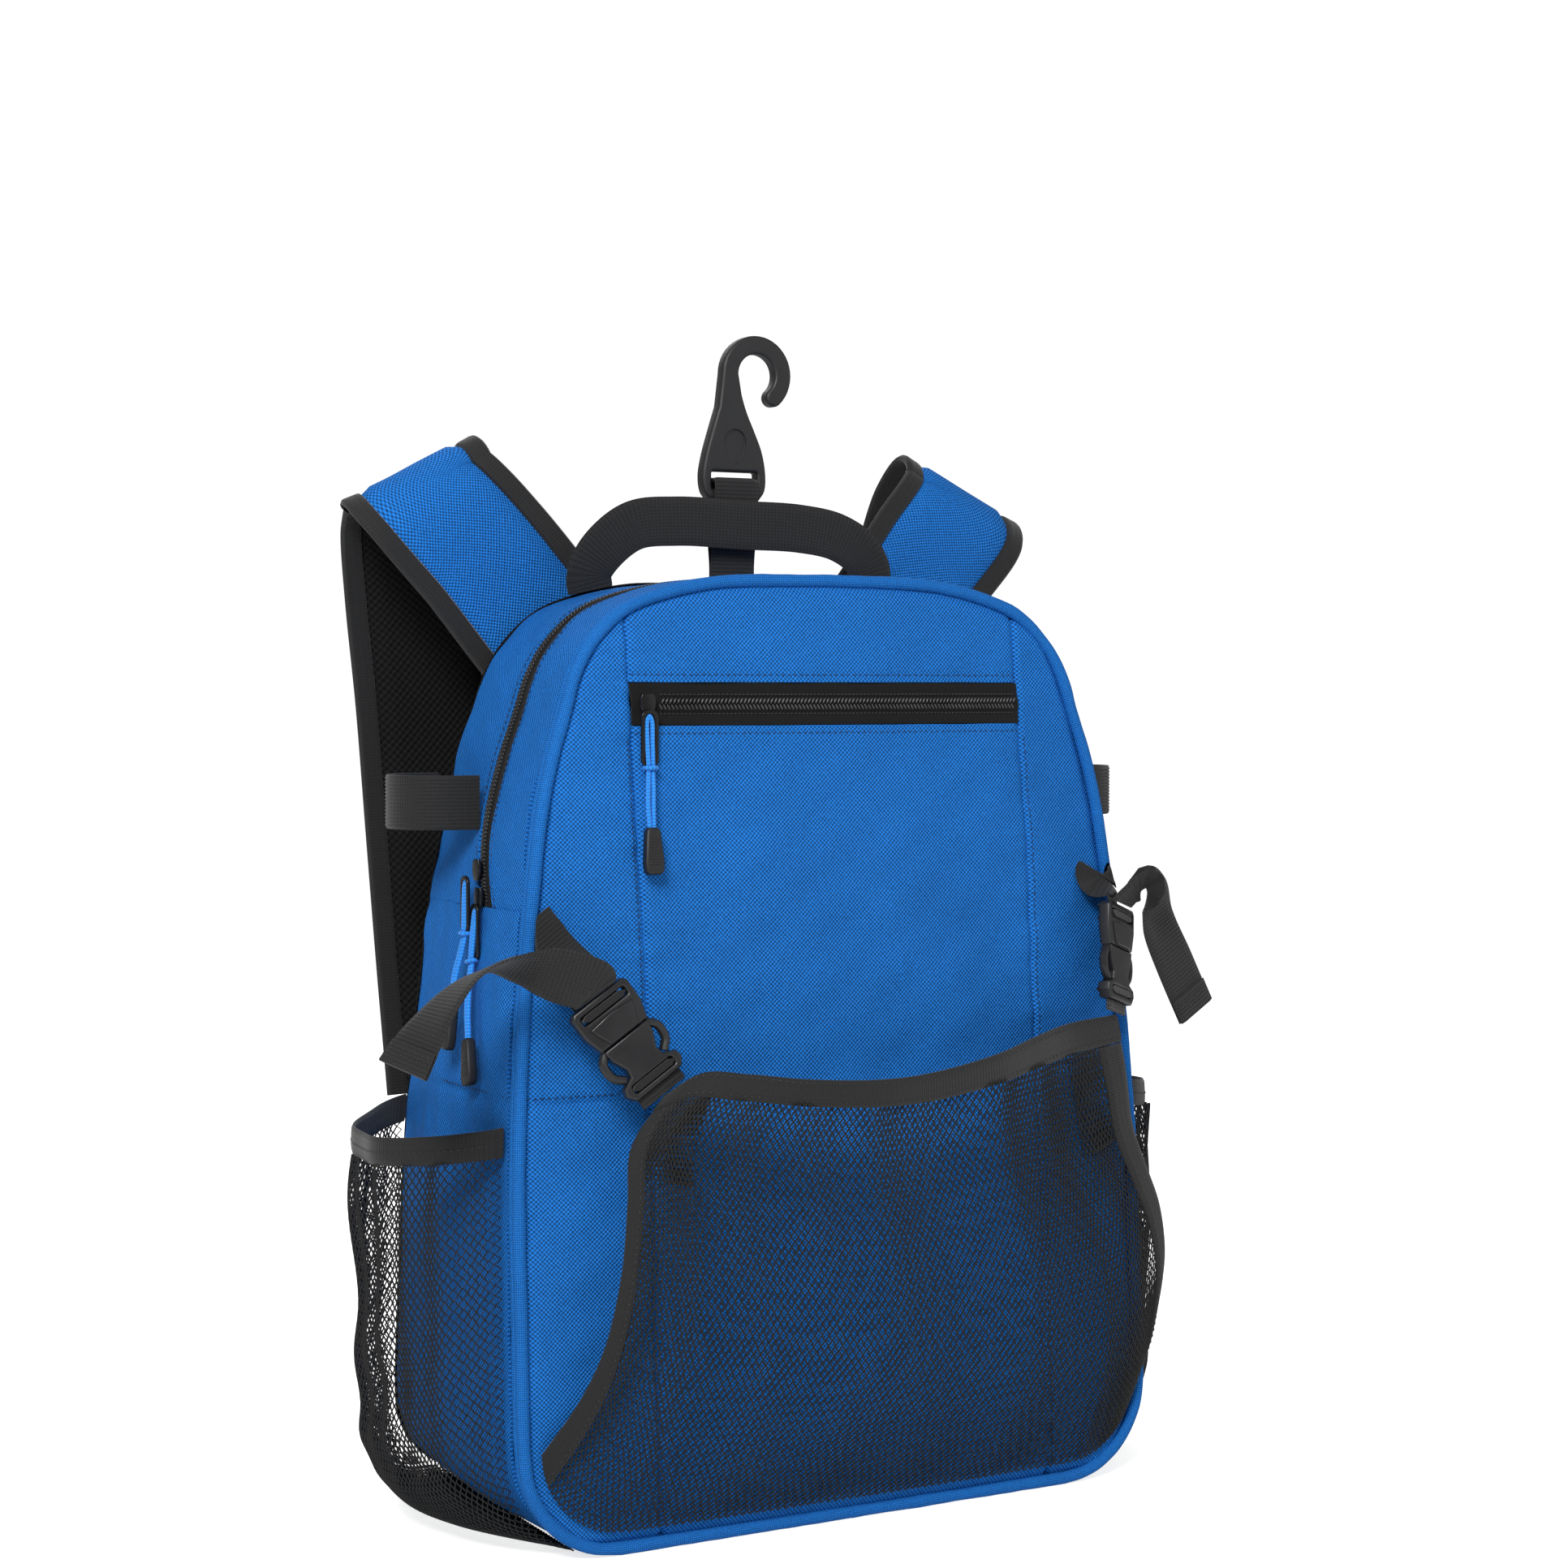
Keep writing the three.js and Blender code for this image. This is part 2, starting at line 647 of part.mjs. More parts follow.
function makeFrontNetSurface(cornerLeft, cornerRight) {
  const sewnInset = panelInset + 2;
  const wayLeft = -wayAtHeight(netLeftEdge[0].up * frontNetHeight, sewnInset);
  const wayRight = wayAtHeight(netRightEdge[0].up * frontNetHeight, sewnInset);
  const bottomAt = (a) => {
    const { x, z } = rim(lerp(wayLeft, wayRight, a), sewnInset);
    return frontFace(x, z, netThickness + seamGap);
  };
  const curveThrough = (points) => new THREE.CatmullRomCurve3(points, false, 'centripetal');
  const left = curveThrough([bottomAt(0), ...netLeftEdge.slice(1).map(edgePoint), cornerLeft]);
  const right = curveThrough([bottomAt(1), ...netRightEdge.slice(1).map(edgePoint), cornerRight]);
  const top = curveThrough([cornerLeft, ...netTopEdge.map(edgePoint), cornerRight]);
  return (a, b) => {
    const corner = (u, v) => (v === 0 ? bottomAt(u) : top.getPoint(u));
    const sides = mixVec(left.getPoint(b), right.getPoint(b), a);
    const ends = mixVec(bottomAt(a), top.getPoint(a), b);
    const low = mixVec(corner(0, 0), corner(1, 0), a);
    const corners = low.lerp(mixVec(corner(0, 1), corner(1, 1), a), b);
    const point = sides.add(ends).sub(corners);
    point.y -= frontNetSwell * Math.sin(Math.PI * a) * Math.sin(Math.PI * b);
    return point;
  };
}

const frontNetSurface = makeFrontNetSurface(buckleLine(buckles[0]).corner, buckleLine(buckles[1]).corner);

function frontNetPatch(name, finish, ranges, steps, thickness) {
  const { left, right, low, high } = ranges;
  const geometry = wall(steps.across, steps.up, (u, v, side) => {
    const b = lerp(low, high, v);
    const a = lerp(left(b), right(b), u);
    const nudge = 0.004;
    const point = frontNetSurface(a, b);
    const [a0, a1] = [Math.max(a - nudge, 0), Math.min(a + nudge, 1)];
    const [b0, b1] = [Math.max(b - nudge, 0), Math.min(b + nudge, 1)];
    const across = frontNetSurface(a1, b).sub(frontNetSurface(a0, b));
    const up = frontNetSurface(a, b1).sub(frontNetSurface(a, b0));
    const inward = up.cross(across).normalize();
    return point.addScaledVector(inward, (side - 0.5) * thickness);
  });
  addPiece(name, geometry, finish);
}

function buildFrontNet() {
  const rimFrom = 1 - netRimHeight / frontNetHeight;
  const bindingShare = (b) => {
    const width = frontNetSurface(0, b).distanceTo(frontNetSurface(1, b));
    return netBindingWidth / width;
  };
  const gapShare = 0.003;
  const zero = () => 0;
  const one = () => 1;
  const inLeft = (b) => bindingShare(b) + gapShare;
  const inRight = (b) => 1 - bindingShare(b) - gapShare;
  const below = rimFrom - gapShare;
  const net = { left: inLeft, right: inRight, low: 0.012, high: below };
  const top = { left: zero, right: one, low: rimFrom, high: 1 };
  const left = { left: zero, right: bindingShare, low: 0.012, high: below };
  const right = { left: (b) => 1 - bindingShare(b), right: one, low: 0.012, high: below };
  frontNetPatch('front_net', 'net', net, { across: 14, up: 10 }, netThickness);
  frontNetPatch('front_net_rim', 'black', top, { across: 20, up: 1 }, bindingThickness);
  frontNetPatch('front_net_binding_left', 'black', left, { across: 1, up: 10 }, bindingThickness);
  frontNetPatch('front_net_binding_right', 'black', right, { across: 1, up: 10 }, bindingThickness);
}

// Side net pockets: up is a share of sidePocketHeight and out of sidePocketReach, beyond the bag's side
const pocketSections = [
  { up: 0.012, out: -0.744 },
  { up: 0.02, out: -0.16 },
  { up: 0.06, out: 0.442 },
  { up: 0.15, out: 0.744 },
  { up: 0.3, out: 0.872 },
  { up: 0.55, out: 0.953 },
  { up: 1 - netRimHeight / sidePocketHeight, out: 1 },
  { up: 1, out: 1 },
];

function makeSideNetSurface(side) {
  const curve = new THREE.CatmullRomCurve3(
    pocketSections.map((row) => vec(row.out * sidePocketReach, 0, row.up * sidePocketHeight)),
    false,
    'centripetal',
  );
  return (a, b, inner, thickness) => {
    const section = curve.getPoint(b);
    const tangent = curve.getTangent(b);
    const facing = vec(tangent.z, 0, -tangent.x).normalize();
    const grown = (1 - inner) * thickness;
    const bow = Math.pow(Math.max(Math.sin(Math.PI * a), 0), 0.7);
    const z = section.z * (1 - (sidePocketSag * bow) / sidePocketHeight);
    const y = lerp(frontPlane(z) + gussetFront + 0.5, backPlane(z) - 1, a);
    const slack = chordSlack * (1 + 5 * clamp(1 - z / cornerRadius, 0, 1));
    const seated = gussetReach(z, y - frontPlane(z)) + seamGap + slack;
    const bulge = Math.max(bagHalfWidth + section.x, seated);
    const x = lerp(seated, bulge, bow) + facing.x * grown;
    return vec(side * x, y, z + facing.z * grown);
  };
}

function buildSidePockets() {
  const lastSpan = 1 / (pocketSections.length - 1);
  const rimFrom = 1 - lastSpan;
  const netTo = rimFrom - lastSpan * 0.01;
  for (const side of [-1, 1]) {
    const word = side < 0 ? 'left' : 'right';
    const surface = makeSideNetSurface(side);
    const net = wall(12, 8, (u, v, inner) => surface(u, v * netTo, inner, netThickness));
    addPiece(`side_net_${word}`, net, 'net');
    const top = wall(12, 1, (u, v, inner) => surface(u, lerp(rimFrom, 1, v), inner, bindingThickness));
    addPiece(`side_net_rim_${word}`, top, 'black');
  }
}

// Elastic loops: each stands out from the gusset as a half ring, and its reach is a share of the longer one's
const batLoops = [
  { name: 'bat_loop_left', side: -1, centre: 80, reach: 0.68 },
  { name: 'bat_loop_right', side: 1, centre: 68, reach: 1 },
];

function buildBatLoops() {
  const low = elasticLoopHeight - elasticWidth / 2;
  for (const { name, side, centre, reach } of batLoops) {
    const geometry = wall(16, 1, (u, v, inner) => {
      const angle = Math.PI * u;
      const grown = (1 - inner) * elasticThickness;
      const z = elasticLoopHeight + (v - 0.5) * elasticWidth;
      const root = gussetReach(low, centre - elasticLoopHalfSpan - frontPlane(z)) + seamGap;
      const x = root + Math.pow(Math.sin(angle), 0.8) * (reach * elasticLoopReach + grown);
      return vec(side * x, centre - (elasticLoopHalfSpan + grown) * Math.cos(angle), z);
    });
    addPiece(name, geometry, 'black');
  }
}

function buildBuckles() {
  for (const buckle of buckles) {
    const { word } = buckle;
    const root = bucklePoint(buckle.root);
    const top = bucklePoint(buckle.top);
    const tail = buckle.tail.map(({ offset, across }) => ({
      at: top.clone().addScaledVector(offset, buckle.tailLength),
      across,
    }));
    const { along, across, strapBend, strapEnd, tailRoot, adjuster, socket, tab } = buckleLine(buckle);
    const lead = top.clone().sub(root).normalize();
    const strap = [
      { at: root, across: vec(-lead.z, 0, lead.x) },
      { at: strapBend, across },
      { at: strapEnd, across },
    ];
    addPiece(`buckle_strap_${word}`, band(strap, webbingWidth, webbingThickness, 6), 'black');
    const tailBand = band([...tailRoot, ...tail], webbingWidth, webbingThickness, 16);
    addPiece(`strap_tail_${word}`, tailBand, 'black');
    const adjusterShape = roundedRectangle(buckleWidth, adjusterLength, 3);
    adjusterShape.holes.push(slot(webbingWidth + 1, 4, -adjusterLength / 4));
    const adjusterPlate = plate(adjusterShape, buckleThickness, 2);
    place(addPiece(`buckle_adjuster_${word}`, adjusterPlate, 'plastic'), adjuster, along, across);
    const socketShape = socketOutline();
    socketShape.holes.push(slot(webbingWidth + 1, 3.5, socketLength / 2 - 5));
    const socketPlate = plate(socketShape, buckleThickness, 2);
    place(addPiece(`buckle_socket_${word}`, socketPlate, 'plastic'), socket, along, across);
    const ends = tab.map((at) => ({ at, across }));
    addPiece(`net_tab_${word}`, band(ends, webbingWidth, webbingThickness, 2), 'black');
  }
}

function slot(width, length, shift) {
  const path = new THREE.Path();
  path.moveTo(-width / 2, shift - length / 2);
  path.lineTo(-width / 2, shift + length / 2);
  path.lineTo(width / 2, shift + length / 2);
  path.lineTo(width / 2, shift - length / 2);
  path.closePath();
  return path;
}

// The socket narrows at its middle, where its two side windows are
function socketOutline() {
  const [half, waist, end] = [buckleWidth / 2, buckleWidth * 0.4, socketLength / 2];
  const outline = new THREE.Shape();
  outline.moveTo(-half, -end);
  outline.lineTo(half, -end);
  outline.lineTo(half, -end * 0.2);
  outline.lineTo(waist, end * 0.25);
  outline.lineTo(half * 0.94, end * 0.65);
  outline.lineTo(half * 0.8, end);
  outline.lineTo(-half * 0.8, end);
  outline.lineTo(-half * 0.94, end * 0.65);
  outline.lineTo(-waist, end * 0.25);
  outline.lineTo(-half, -end * 0.2);
  outline.closePath();
  return outline;
}

// Top: the webbing handle, and the hook on its doubled webbing tab
function buildHandle() {
  const footLeft = rim(-wayAtHalfWidth(handleFootLeft, 0), 0.6);
  const footRight = rim(wayAtHalfWidth(handleFootRight, 0), 0.6);
  const y = depthAtTop - 2;
  const risen = (share) => bagHeight + share * handleRise;
  const stations = [
    { at: vec(footLeft.x, y, footLeft.z), across: vec(1, 0, 0.22) },
    { at: vec(footLeft.x - 1.5, y - 2, footLeft.z + 8), across: vec(1, 0, 0.2) },
    { at: vec(footLeft.x + 4, y - 4, footLeft.z + 19), across: vec(0.9, 0, -0.35) },
    { at: vec(-0.747 * handleFootLeft, y - 6, risen(0.9)), across: vec(0.5, 0, -0.85) },
    { at: vec(-0.458 * handleFootLeft, y - 7, risen(1)), across: vec(0, 0, -1) },
    { at: vec(0, y - 7, risen(0.97)), across: vec(0, 0, -1) },
    { at: vec(0.442 * handleFootRight, y - 7, risen(0.93)), across: vec(0, 0, -1) },
    { at: vec(0.74 * handleFootRight, y - 6, risen(0.79)), across: vec(-0.5, 0, -0.85) },
    { at: vec(footRight.x - 4, y - 4, footRight.z + 19), across: vec(-0.9, 0, -0.35) },
    { at: vec(footRight.x + 1.5, y - 2, footRight.z + 8), across: vec(-1, 0, 0.2) },
    { at: vec(footRight.x, y, footRight.z), across: vec(-1, 0, 0.22) },
  ];
  addPiece('handle', band(stations, webbingWidth, webbingThickness, 22), 'black');
}

// The hook's sides above its bar: across is a share of hookHalfWidth, up of the height from bar to crook
const hookSideRight = [
  { across: 0.625, up: 0 },
  { across: 0.8, up: 0.077 },
  { across: 0.835, up: 0.2 },
  { across: 0.73, up: 0.385 },
  { across: 0.525, up: 0.538 },
  { across: 0.275, up: 0.708 },
  { across: 0.1, up: 0.877 },
];
const hookSideLeft = [
  { across: -0.53, up: 0.738 },
  { across: -0.725, up: 0.554 },
  { across: -0.93, up: 0.338 },
  { across: -1.01, up: 0.185 },
  { across: -0.95, up: 0.062 },
];

function hookOutline() {
  const bar = bagHeight + hookBarHeight;
  const crook = bagHeight + hookCrookHeight;
  const outer = hookInnerRadius + hookRodWidth;
  const middle = hookInnerRadius + hookRodWidth / 2;
  const tipAngle = -0.84;
  const shape = new THREE.Shape();
  const lineTo = ({ across, up }) => shape.lineTo(across * hookHalfWidth, lerp(bar, crook, up));
  shape.moveTo(-0.8 * hookHalfWidth, bar);
  hookSideRight.forEach(lineTo);
  shape.absarc(hookCrookCentre, crook, hookInnerRadius, Math.PI, tipAngle, true);
  const tip = { x: hookCrookCentre + middle * Math.cos(tipAngle), z: crook + middle * Math.sin(tipAngle) };
  shape.absarc(tip.x, tip.z, hookRodWidth / 2, tipAngle + Math.PI, tipAngle + 2 * Math.PI, false);
  shape.absarc(hookCrookCentre, crook, outer, tipAngle, Math.PI, false);
  hookSideLeft.forEach(lineTo);
  shape.closePath();
  const opening = new THREE.Path();
  const half = webbingWidth / 2 + 0.6;
  const low = bar + hookBarWidth;
  opening.moveTo(hookCentre - half, low);
  opening.lineTo(hookCentre - half, low + hookSlotHeight);
  opening.lineTo(hookCentre + half, low + hookSlotHeight);
  opening.lineTo(hookCentre + half, low);
  opening.closePath();
  shape.holes.push(opening);
  return shape;
}

function buildHook() {
  const geometry = plate(hookOutline(), hookThickness, 10);
  place(addPiece('hook', geometry, 'plastic'), vec(0, depthAtTop, 0), vec(0, 0, 1), vec(1, 0, 0));
  const foot = bagHeight - gussetInset + seamGap;
  const fork = bagHeight + 12;
  const bar = bagHeight + hookBarHeight;
  const top = bar + hookBarWidth + seamGap;
  const inner = hookThickness / 2 + seamGap;
  const outer = inner + webbingThickness;
  const profile = new THREE.Shape();
  profile.moveTo(-webbingThickness - 0.2, foot);
  profile.lineTo(webbingThickness + 0.2, foot);
  profile.lineTo(webbingThickness + 0.2, fork - 4);
  profile.lineTo(outer, bar - 6);
  profile.lineTo(outer, top + webbingThickness);
  profile.lineTo(-outer, top + webbingThickness);
  profile.lineTo(-outer, bar - 6);
  profile.lineTo(-webbingThickness - 0.2, fork - 4);
  profile.closePath();
  const eye = new THREE.Path();
  eye.moveTo(0, fork);
  eye.lineTo(-inner, bar - 5);
  eye.lineTo(-inner, top);
  eye.lineTo(inner, top);
  eye.lineTo(inner, bar - 5);
  eye.closePath();
  profile.holes.push(eye);
  const strap = plate(profile, webbingWidth);
  place(addPiece('hook_strap', strap, 'black'), vec(hookCentre, depthAtTop, 0), vec(0, 0, 1), vec(0, 1, 0));
}

// Shoulder straps: sewn to the back, up and outwards over the top, then down behind the back.
// across is a share of bagHalfWidth, behind of strapReach and up of bagHeight
const strapRows = [
  { across: 0.437, behind: 0, up: 0.884, lean: vec(0.8, 0, -0.6) },
  { across: 0.598, behind: 0.037, up: 0.956, lean: vec(0.82, 0, -0.57) },
  { across: 0.759, behind: 0.093, up: 1.031, lean: vec(0.86, -0.05, -0.5) },
  { across: 0.908, behind: 0.222, up: 1.094, lean: vec(0.88, -0.09, -0.47) },
  { across: 0.925, behind: 0.481, up: 1.114, lean: vec(0.88, -0.09, -0.47) },
  { across: 0.902, behind: 0.704, up: 1.088, lean: vec(0.89, -0.05, -0.45) },
  { across: 0.851, behind: 0.926, up: 0.996, lean: vec(0.94, 0, -0.33) },
  { across: 0.805, behind: 1, up: 0.875, lean: vec(0.98, 0, -0.2) },
  { across: 0.764, behind: 0.926, up: 0.722, lean: vec(1, 0, -0.1) },
  { across: 0.736, behind: 0.741, up: 0.558, lean: vec(1, 0, 0) },
  { across: 0.724, behind: 0.481, up: 0.427, lean: vec(1, 0, 0) },
];
const strapSeatShare = 0.9;

function buildShoulderStraps() {
  for (const side of [-1, 1]) {
    const word = side < 0 ? 'left' : 'right';
    const flip = (v) => vec(side * v.x, v.y, v.z);
    const stations = strapRows.map((row) => {
      const seat = backFace(0, Math.min(row.up, strapSeatShare) * bagHeight, 0).y;
      const y = seat + seamGap + padThickness / 2 + 1 + row.behind * strapReach;
      return { at: flip(vec(row.across * bagHalfWidth, y, row.up * bagHeight)), across: flip(row.lean) };
    });
    const pad = band(stations, padWidth, padThickness, 28, { divisions: 2, crown: 0.8 });
    addPiece(`strap_pad_${word}`, pad, 'blue');
    const shift = (padWidth + padBindingWidth) / 2 + 2 * seamGap;
    for (const [edge, sign] of [['inner', -1], ['outer', 1]]) {
      const binding = band(stations, padBindingWidth, padBindingThickness, 28, { shift: sign * shift });
      addPiece(`strap_binding_${edge}_${word}`, binding, 'black');
    }
    const end = stations[stations.length - 1].at;
    const before = stations[stations.length - 2].at;
    const along = end.clone().sub(before).normalize();
    const acrossEnd = flip(vec(1, 0, 0));
    const frame = roundedRectangle(buckleWidth, adjusterLength, 3);
    frame.holes.push(slot(webbingWidth + 1, 4, -adjusterLength / 4));
    frame.holes.push(slot(webbingWidth + 1, 4, adjusterLength / 4));
    const centre = end.clone().addScaledVector(along, adjusterLength / 2 + seamGap);
    place(addPiece(`strap_adjuster_${word}`, plate(frame, 4, 2), 'plastic'), centre, along, acrossEnd);
    const lift = seamGap + webbingThickness / 2 + chordSlack;
    const seat = (across, up) => backFace(across * bagHalfWidth, up * bagHeight, lift);
    const start = end.clone().addScaledVector(along, adjusterLength + 1.2);
    const webbing = [
      { at: start, across: acrossEnd },
      { at: start.clone().addScaledVector(along, 8), across: acrossEnd },
      { at: flip(seat(0.77, 0.241)).add(vec(0, 5, 0)), across: flip(vec(1, 0, 0.15)) },
      { at: flip(seat(0.805, 0.131)), across: flip(vec(1, 0, 0.15)) },
      { at: flip(seat(0.816, 0.066)), across: flip(vec(1, 0, 0.15)) },
    ];
    addPiece(`strap_webbing_${word}`, band(webbing, webbingWidth, webbingThickness, 12), 'black');
  }
}

buildFront();
buildPiping();
buildGusset();
buildBack();
buildZipPulls();
buildFrontNet();
buildSidePockets();
buildBatLoops();
buildBuckles();
buildHandle();
buildHook();
buildShoulderStraps();

// The origin is the middle of the box's underside
const box = new THREE.Box3().setFromObject(bag, true);
const middle = box.getCenter(vec(0, 0, 0));
bag.position.set(-middle.x, -middle.y, -box.min.z);

export default bag;
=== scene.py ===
"""Baseball bat backpack: a Blender add-on that dresses the packed frame, run as a script.

Shapes are worked out in millimetres in the bag's own axes: x from its middle, y from its front plane at the
top, z from its foot. One function takes them to the frame's metres.
"""
import math

import bmesh
import bpy
import numpy as np
from bpy.props import FloatProperty, FloatVectorProperty, PointerProperty
from mathutils import Matrix, Vector


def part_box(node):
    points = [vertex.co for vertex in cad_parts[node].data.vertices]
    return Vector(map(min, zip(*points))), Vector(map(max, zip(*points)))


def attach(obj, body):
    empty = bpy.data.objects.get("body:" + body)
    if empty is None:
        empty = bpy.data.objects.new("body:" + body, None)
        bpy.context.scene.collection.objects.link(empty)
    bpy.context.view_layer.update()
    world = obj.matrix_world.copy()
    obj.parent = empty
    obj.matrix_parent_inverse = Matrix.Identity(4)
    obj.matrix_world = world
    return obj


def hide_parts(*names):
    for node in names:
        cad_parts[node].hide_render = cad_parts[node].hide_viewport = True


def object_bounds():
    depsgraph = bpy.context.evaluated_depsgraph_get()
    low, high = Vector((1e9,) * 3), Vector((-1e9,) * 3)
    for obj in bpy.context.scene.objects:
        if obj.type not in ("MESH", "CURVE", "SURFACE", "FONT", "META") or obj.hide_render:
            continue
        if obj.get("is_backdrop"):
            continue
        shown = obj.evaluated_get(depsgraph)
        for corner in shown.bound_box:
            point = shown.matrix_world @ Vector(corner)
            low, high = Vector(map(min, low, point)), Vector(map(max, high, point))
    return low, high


bl_info = {
    "name": "Baseball bat backpack",
    "version": (1, 0, 0),
    "blender": (4, 5, 0),
    "location": "3D View > Sidebar > Bag",
    "description": "Builds a sports backpack with net pockets, elastic loops and padded straps",
    "category": "Add Mesh",
}

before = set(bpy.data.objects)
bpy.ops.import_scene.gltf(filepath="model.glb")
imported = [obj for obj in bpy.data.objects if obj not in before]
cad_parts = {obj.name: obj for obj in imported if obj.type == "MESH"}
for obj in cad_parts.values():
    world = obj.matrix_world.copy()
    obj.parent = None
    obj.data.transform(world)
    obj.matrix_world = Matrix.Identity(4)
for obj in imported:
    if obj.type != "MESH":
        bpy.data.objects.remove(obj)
CAD_BOX = [list(corner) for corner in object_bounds()]

MM = 0.001

# Main body
BAG_HEIGHT = 457.0
BAG_HALF_WIDTH = 174.0
CORNER_RADIUS = 50.0
DEPTH_AT_TOP = 96.0
FRONT_LEAN = 25.0
BACK_LEAN = 44.0
CLOTH = 1.6
SEAM_GAP = 0.3
PIPING_RADIUS = 3.0
EDGE_ROLL_RADIUS = 2.5
FRONT_SWELL = 12.0
SIDE_SWELL = 5.0
PANEL_INSET = 2 * PIPING_RADIUS + SEAM_GAP - 0.5
GUSSET_INSET = 2.0
GUSSET_FRONT = PIPING_RADIUS + 2 * (EDGE_ROLL_RADIUS + SEAM_GAP)
BASE_THICKNESS = 3.0
BACK_THICKNESS = 6.0
BACK_CROWN = 3.0
QUILT_DEPTH = 0.9
QUILT_WIDTH = 3.0
QUILT_ACROSS = 62.0
QUILT_HEIGHT = 130.0
QUILT_TOP = 380.0

# Front seams, pocket zip and main zip
SEAM_LEFT = (102.0, 110.0)
SEAM_RIGHT = (114.0, 106.0)
CROSS_SEAM_HEIGHT = 211.0
POCKET_ZIP_HEIGHT = 394.0
POCKET_ZIP_WIDTH = 20.0
MAIN_ZIP_WIDTH = 12.0
MAIN_ZIP_END = 298.0
MAIN_ZIP_SHARE = 0.47
MAIN_ZIP_DIP = 0.12
MAIN_ZIP_DIP_HEIGHT = 45.0
TOPSTITCH = 3.8
SEAM_STITCH = 2.4
STITCH_PROUD = 0.1

# Webbing, elastic and nets
WEBBING_WIDTH = 25.0
WEBBING = 1.8
ELASTIC_WIDTH = 26.0
ELASTIC = 2.0
BINDING = 2.4
NET_BINDING_WIDTH = 15.0
NET_RIM_HEIGHT = 13.0
FRONT_NET_HEIGHT = 220.0
FRONT_NET_SWELL = 12.0
SIDE_POCKET_HEIGHT = 200.0
SIDE_POCKET_SAG = 8.0

# Shoulder straps
PAD_WIDTH = 57.0
PAD = 6.0
# The pad's cloth is this much wider than its node, so that it reaches both bindings
PAD_SPREAD = 1.6
PAD_CROWN = 0.8
PAD_BINDING_WIDTH = 11.5
PAD_BINDING = 4.4

# Hook
HOOK_THICKNESS = 8.0
HOOK_INNER_RADIUS = 10.5
HOOK_ROD_WIDTH = 9.5
HOOK_CROOK_HEIGHT = 106.0
HOOK_BAR_HEIGHT = 41.0
HOOK_BAR_WIDTH = 5.5
HOOK_SLOT_HEIGHT = 9.0
HOOK_CENTRE = -1.7

# Zip pulls
CORD_DIAMETER = 2.1
TIP_LENGTH = 22.0
TIP_WIDTH = 10.0
TIP_THICKNESS = 5.0
TAB_LENGTH = 27.0
TAB_WIDTH = 9.0
TAB = 1.6
SLIDER_LENGTH = 10.0
SLIDER_WIDTH = 8.0
SLIDER = 3.5
SLIDER_LIFT = 1.0

# Camera: a 36 mm sensor, and its place and axes in the bag's own axes
LENS = 66.02
SENSOR = 36.0
CAMERA_AT = (-694.2, -1217.5, 401.4)
CAMERA_RIGHT = (0.876, -0.4824, 0.0)
CAMERA_UP = (0.01604, 0.02912, 0.9995)
CAMERA_AHEAD = (0.4821, 0.8755, -0.03324)

# The side of the outline: shares of the height and of the half width
SIDE_OUTLINE = np.array([
    (0.25, 1.0), (0.37, 0.998), (0.497, 0.981), (0.573, 0.964), (0.665, 0.938), (0.759, 0.902), (0.812, 0.868),
    (0.853, 0.832), (0.893, 0.799), (0.928, 0.747), (0.963, 0.649), (0.98, 0.546), (0.9956, 0.356), (1.0, 0.0),
])

TO_FRONT = np.array((0.0, -1.0, 0.0))
TO_LEFT = np.array((-1.0, 0.0, 0.0))

BASE_LOW, BASE_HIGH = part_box("base_panel")
SHIFT = np.array([
    (BASE_LOW.x + BASE_HIGH.x) / 2 / MM,
    BASE_LOW.y / MM - (GUSSET_FRONT - FRONT_LEAN),
    0.0,
])


def to_frame(points):
    return (np.asarray(points, dtype=float) + SHIFT) * MM


def linear(hex_colour):
    """The linear colour of an sRGB hex value."""
    channels = [int(hex_colour[i:i + 2], 16) / 255 for i in (1, 3, 5)]
    return tuple(c / 12.92 if c <= 0.04045 else ((c + 0.055) / 1.055) ** 2.4 for c in channels) + (1.0,)


def lerp(low, high, share):
    return low + (high - low) * share


def unit(vectors):
    vectors = np.asarray(vectors, dtype=float)
    length = np.linalg.norm(vectors, axis=-1, keepdims=True)
    return vectors / np.maximum(length, 1e-9)


def spline(points, share):
    """A centripetal Catmull-Rom curve through the points, at shares that run evenly over its spans."""
    points = np.asarray(points, dtype=float)
    share = np.atleast_1d(np.asarray(share, dtype=float))
    spans = len(points) - 1
    padded = np.vstack([2 * points[0] - points[1], points, 2 * points[-1] - points[-2]])
    place = np.clip(share, 0, 1) * spans
    span = np.minimum(place.astype(int), spans - 1)
    t = (place - span)[:, None]
    p0, p1, p2, p3 = (padded[span + k] for k in range(4))
    root = lambda a, b: np.maximum(np.linalg.norm(b - a, axis=1, keepdims=True), 1e-8) ** 0.5
    d0, d1, d2 = root(p0, p1), root(p1, p2), root(p2, p3)
    m1 = ((p1 - p0) / d0 - (p2 - p0) / (d0 + d1) + (p2 - p1) / d1) * d1
    m2 = ((p2 - p1) / d1 - (p3 - p1) / (d1 + d2) + (p3 - p2) / d2) * d1
    return p1 + m1 * t + (3 * (p2 - p1) - 2 * m1 - m2) * t ** 2 + (2 * (p1 - p2) + m1 + m2) * t ** 3


def travelled(points):
    """The distance along a line of points."""
    steps = np.linalg.norm(np.diff(points, axis=0), axis=1)
    return np.concatenate([[0.0], np.cumsum(steps)])


def evenly(points, pitch):
    """Points on the same line a pitch apart, and their directions."""
    along = travelled(points)
    count = max(int(along[-1] / pitch), 2)
    places = np.linspace(0, along[-1], count)
    at = np.stack([np.interp(places, along, points[:, k]) for k in range(3)], axis=1)
    return at, unit(np.gradient(at, axis=0))


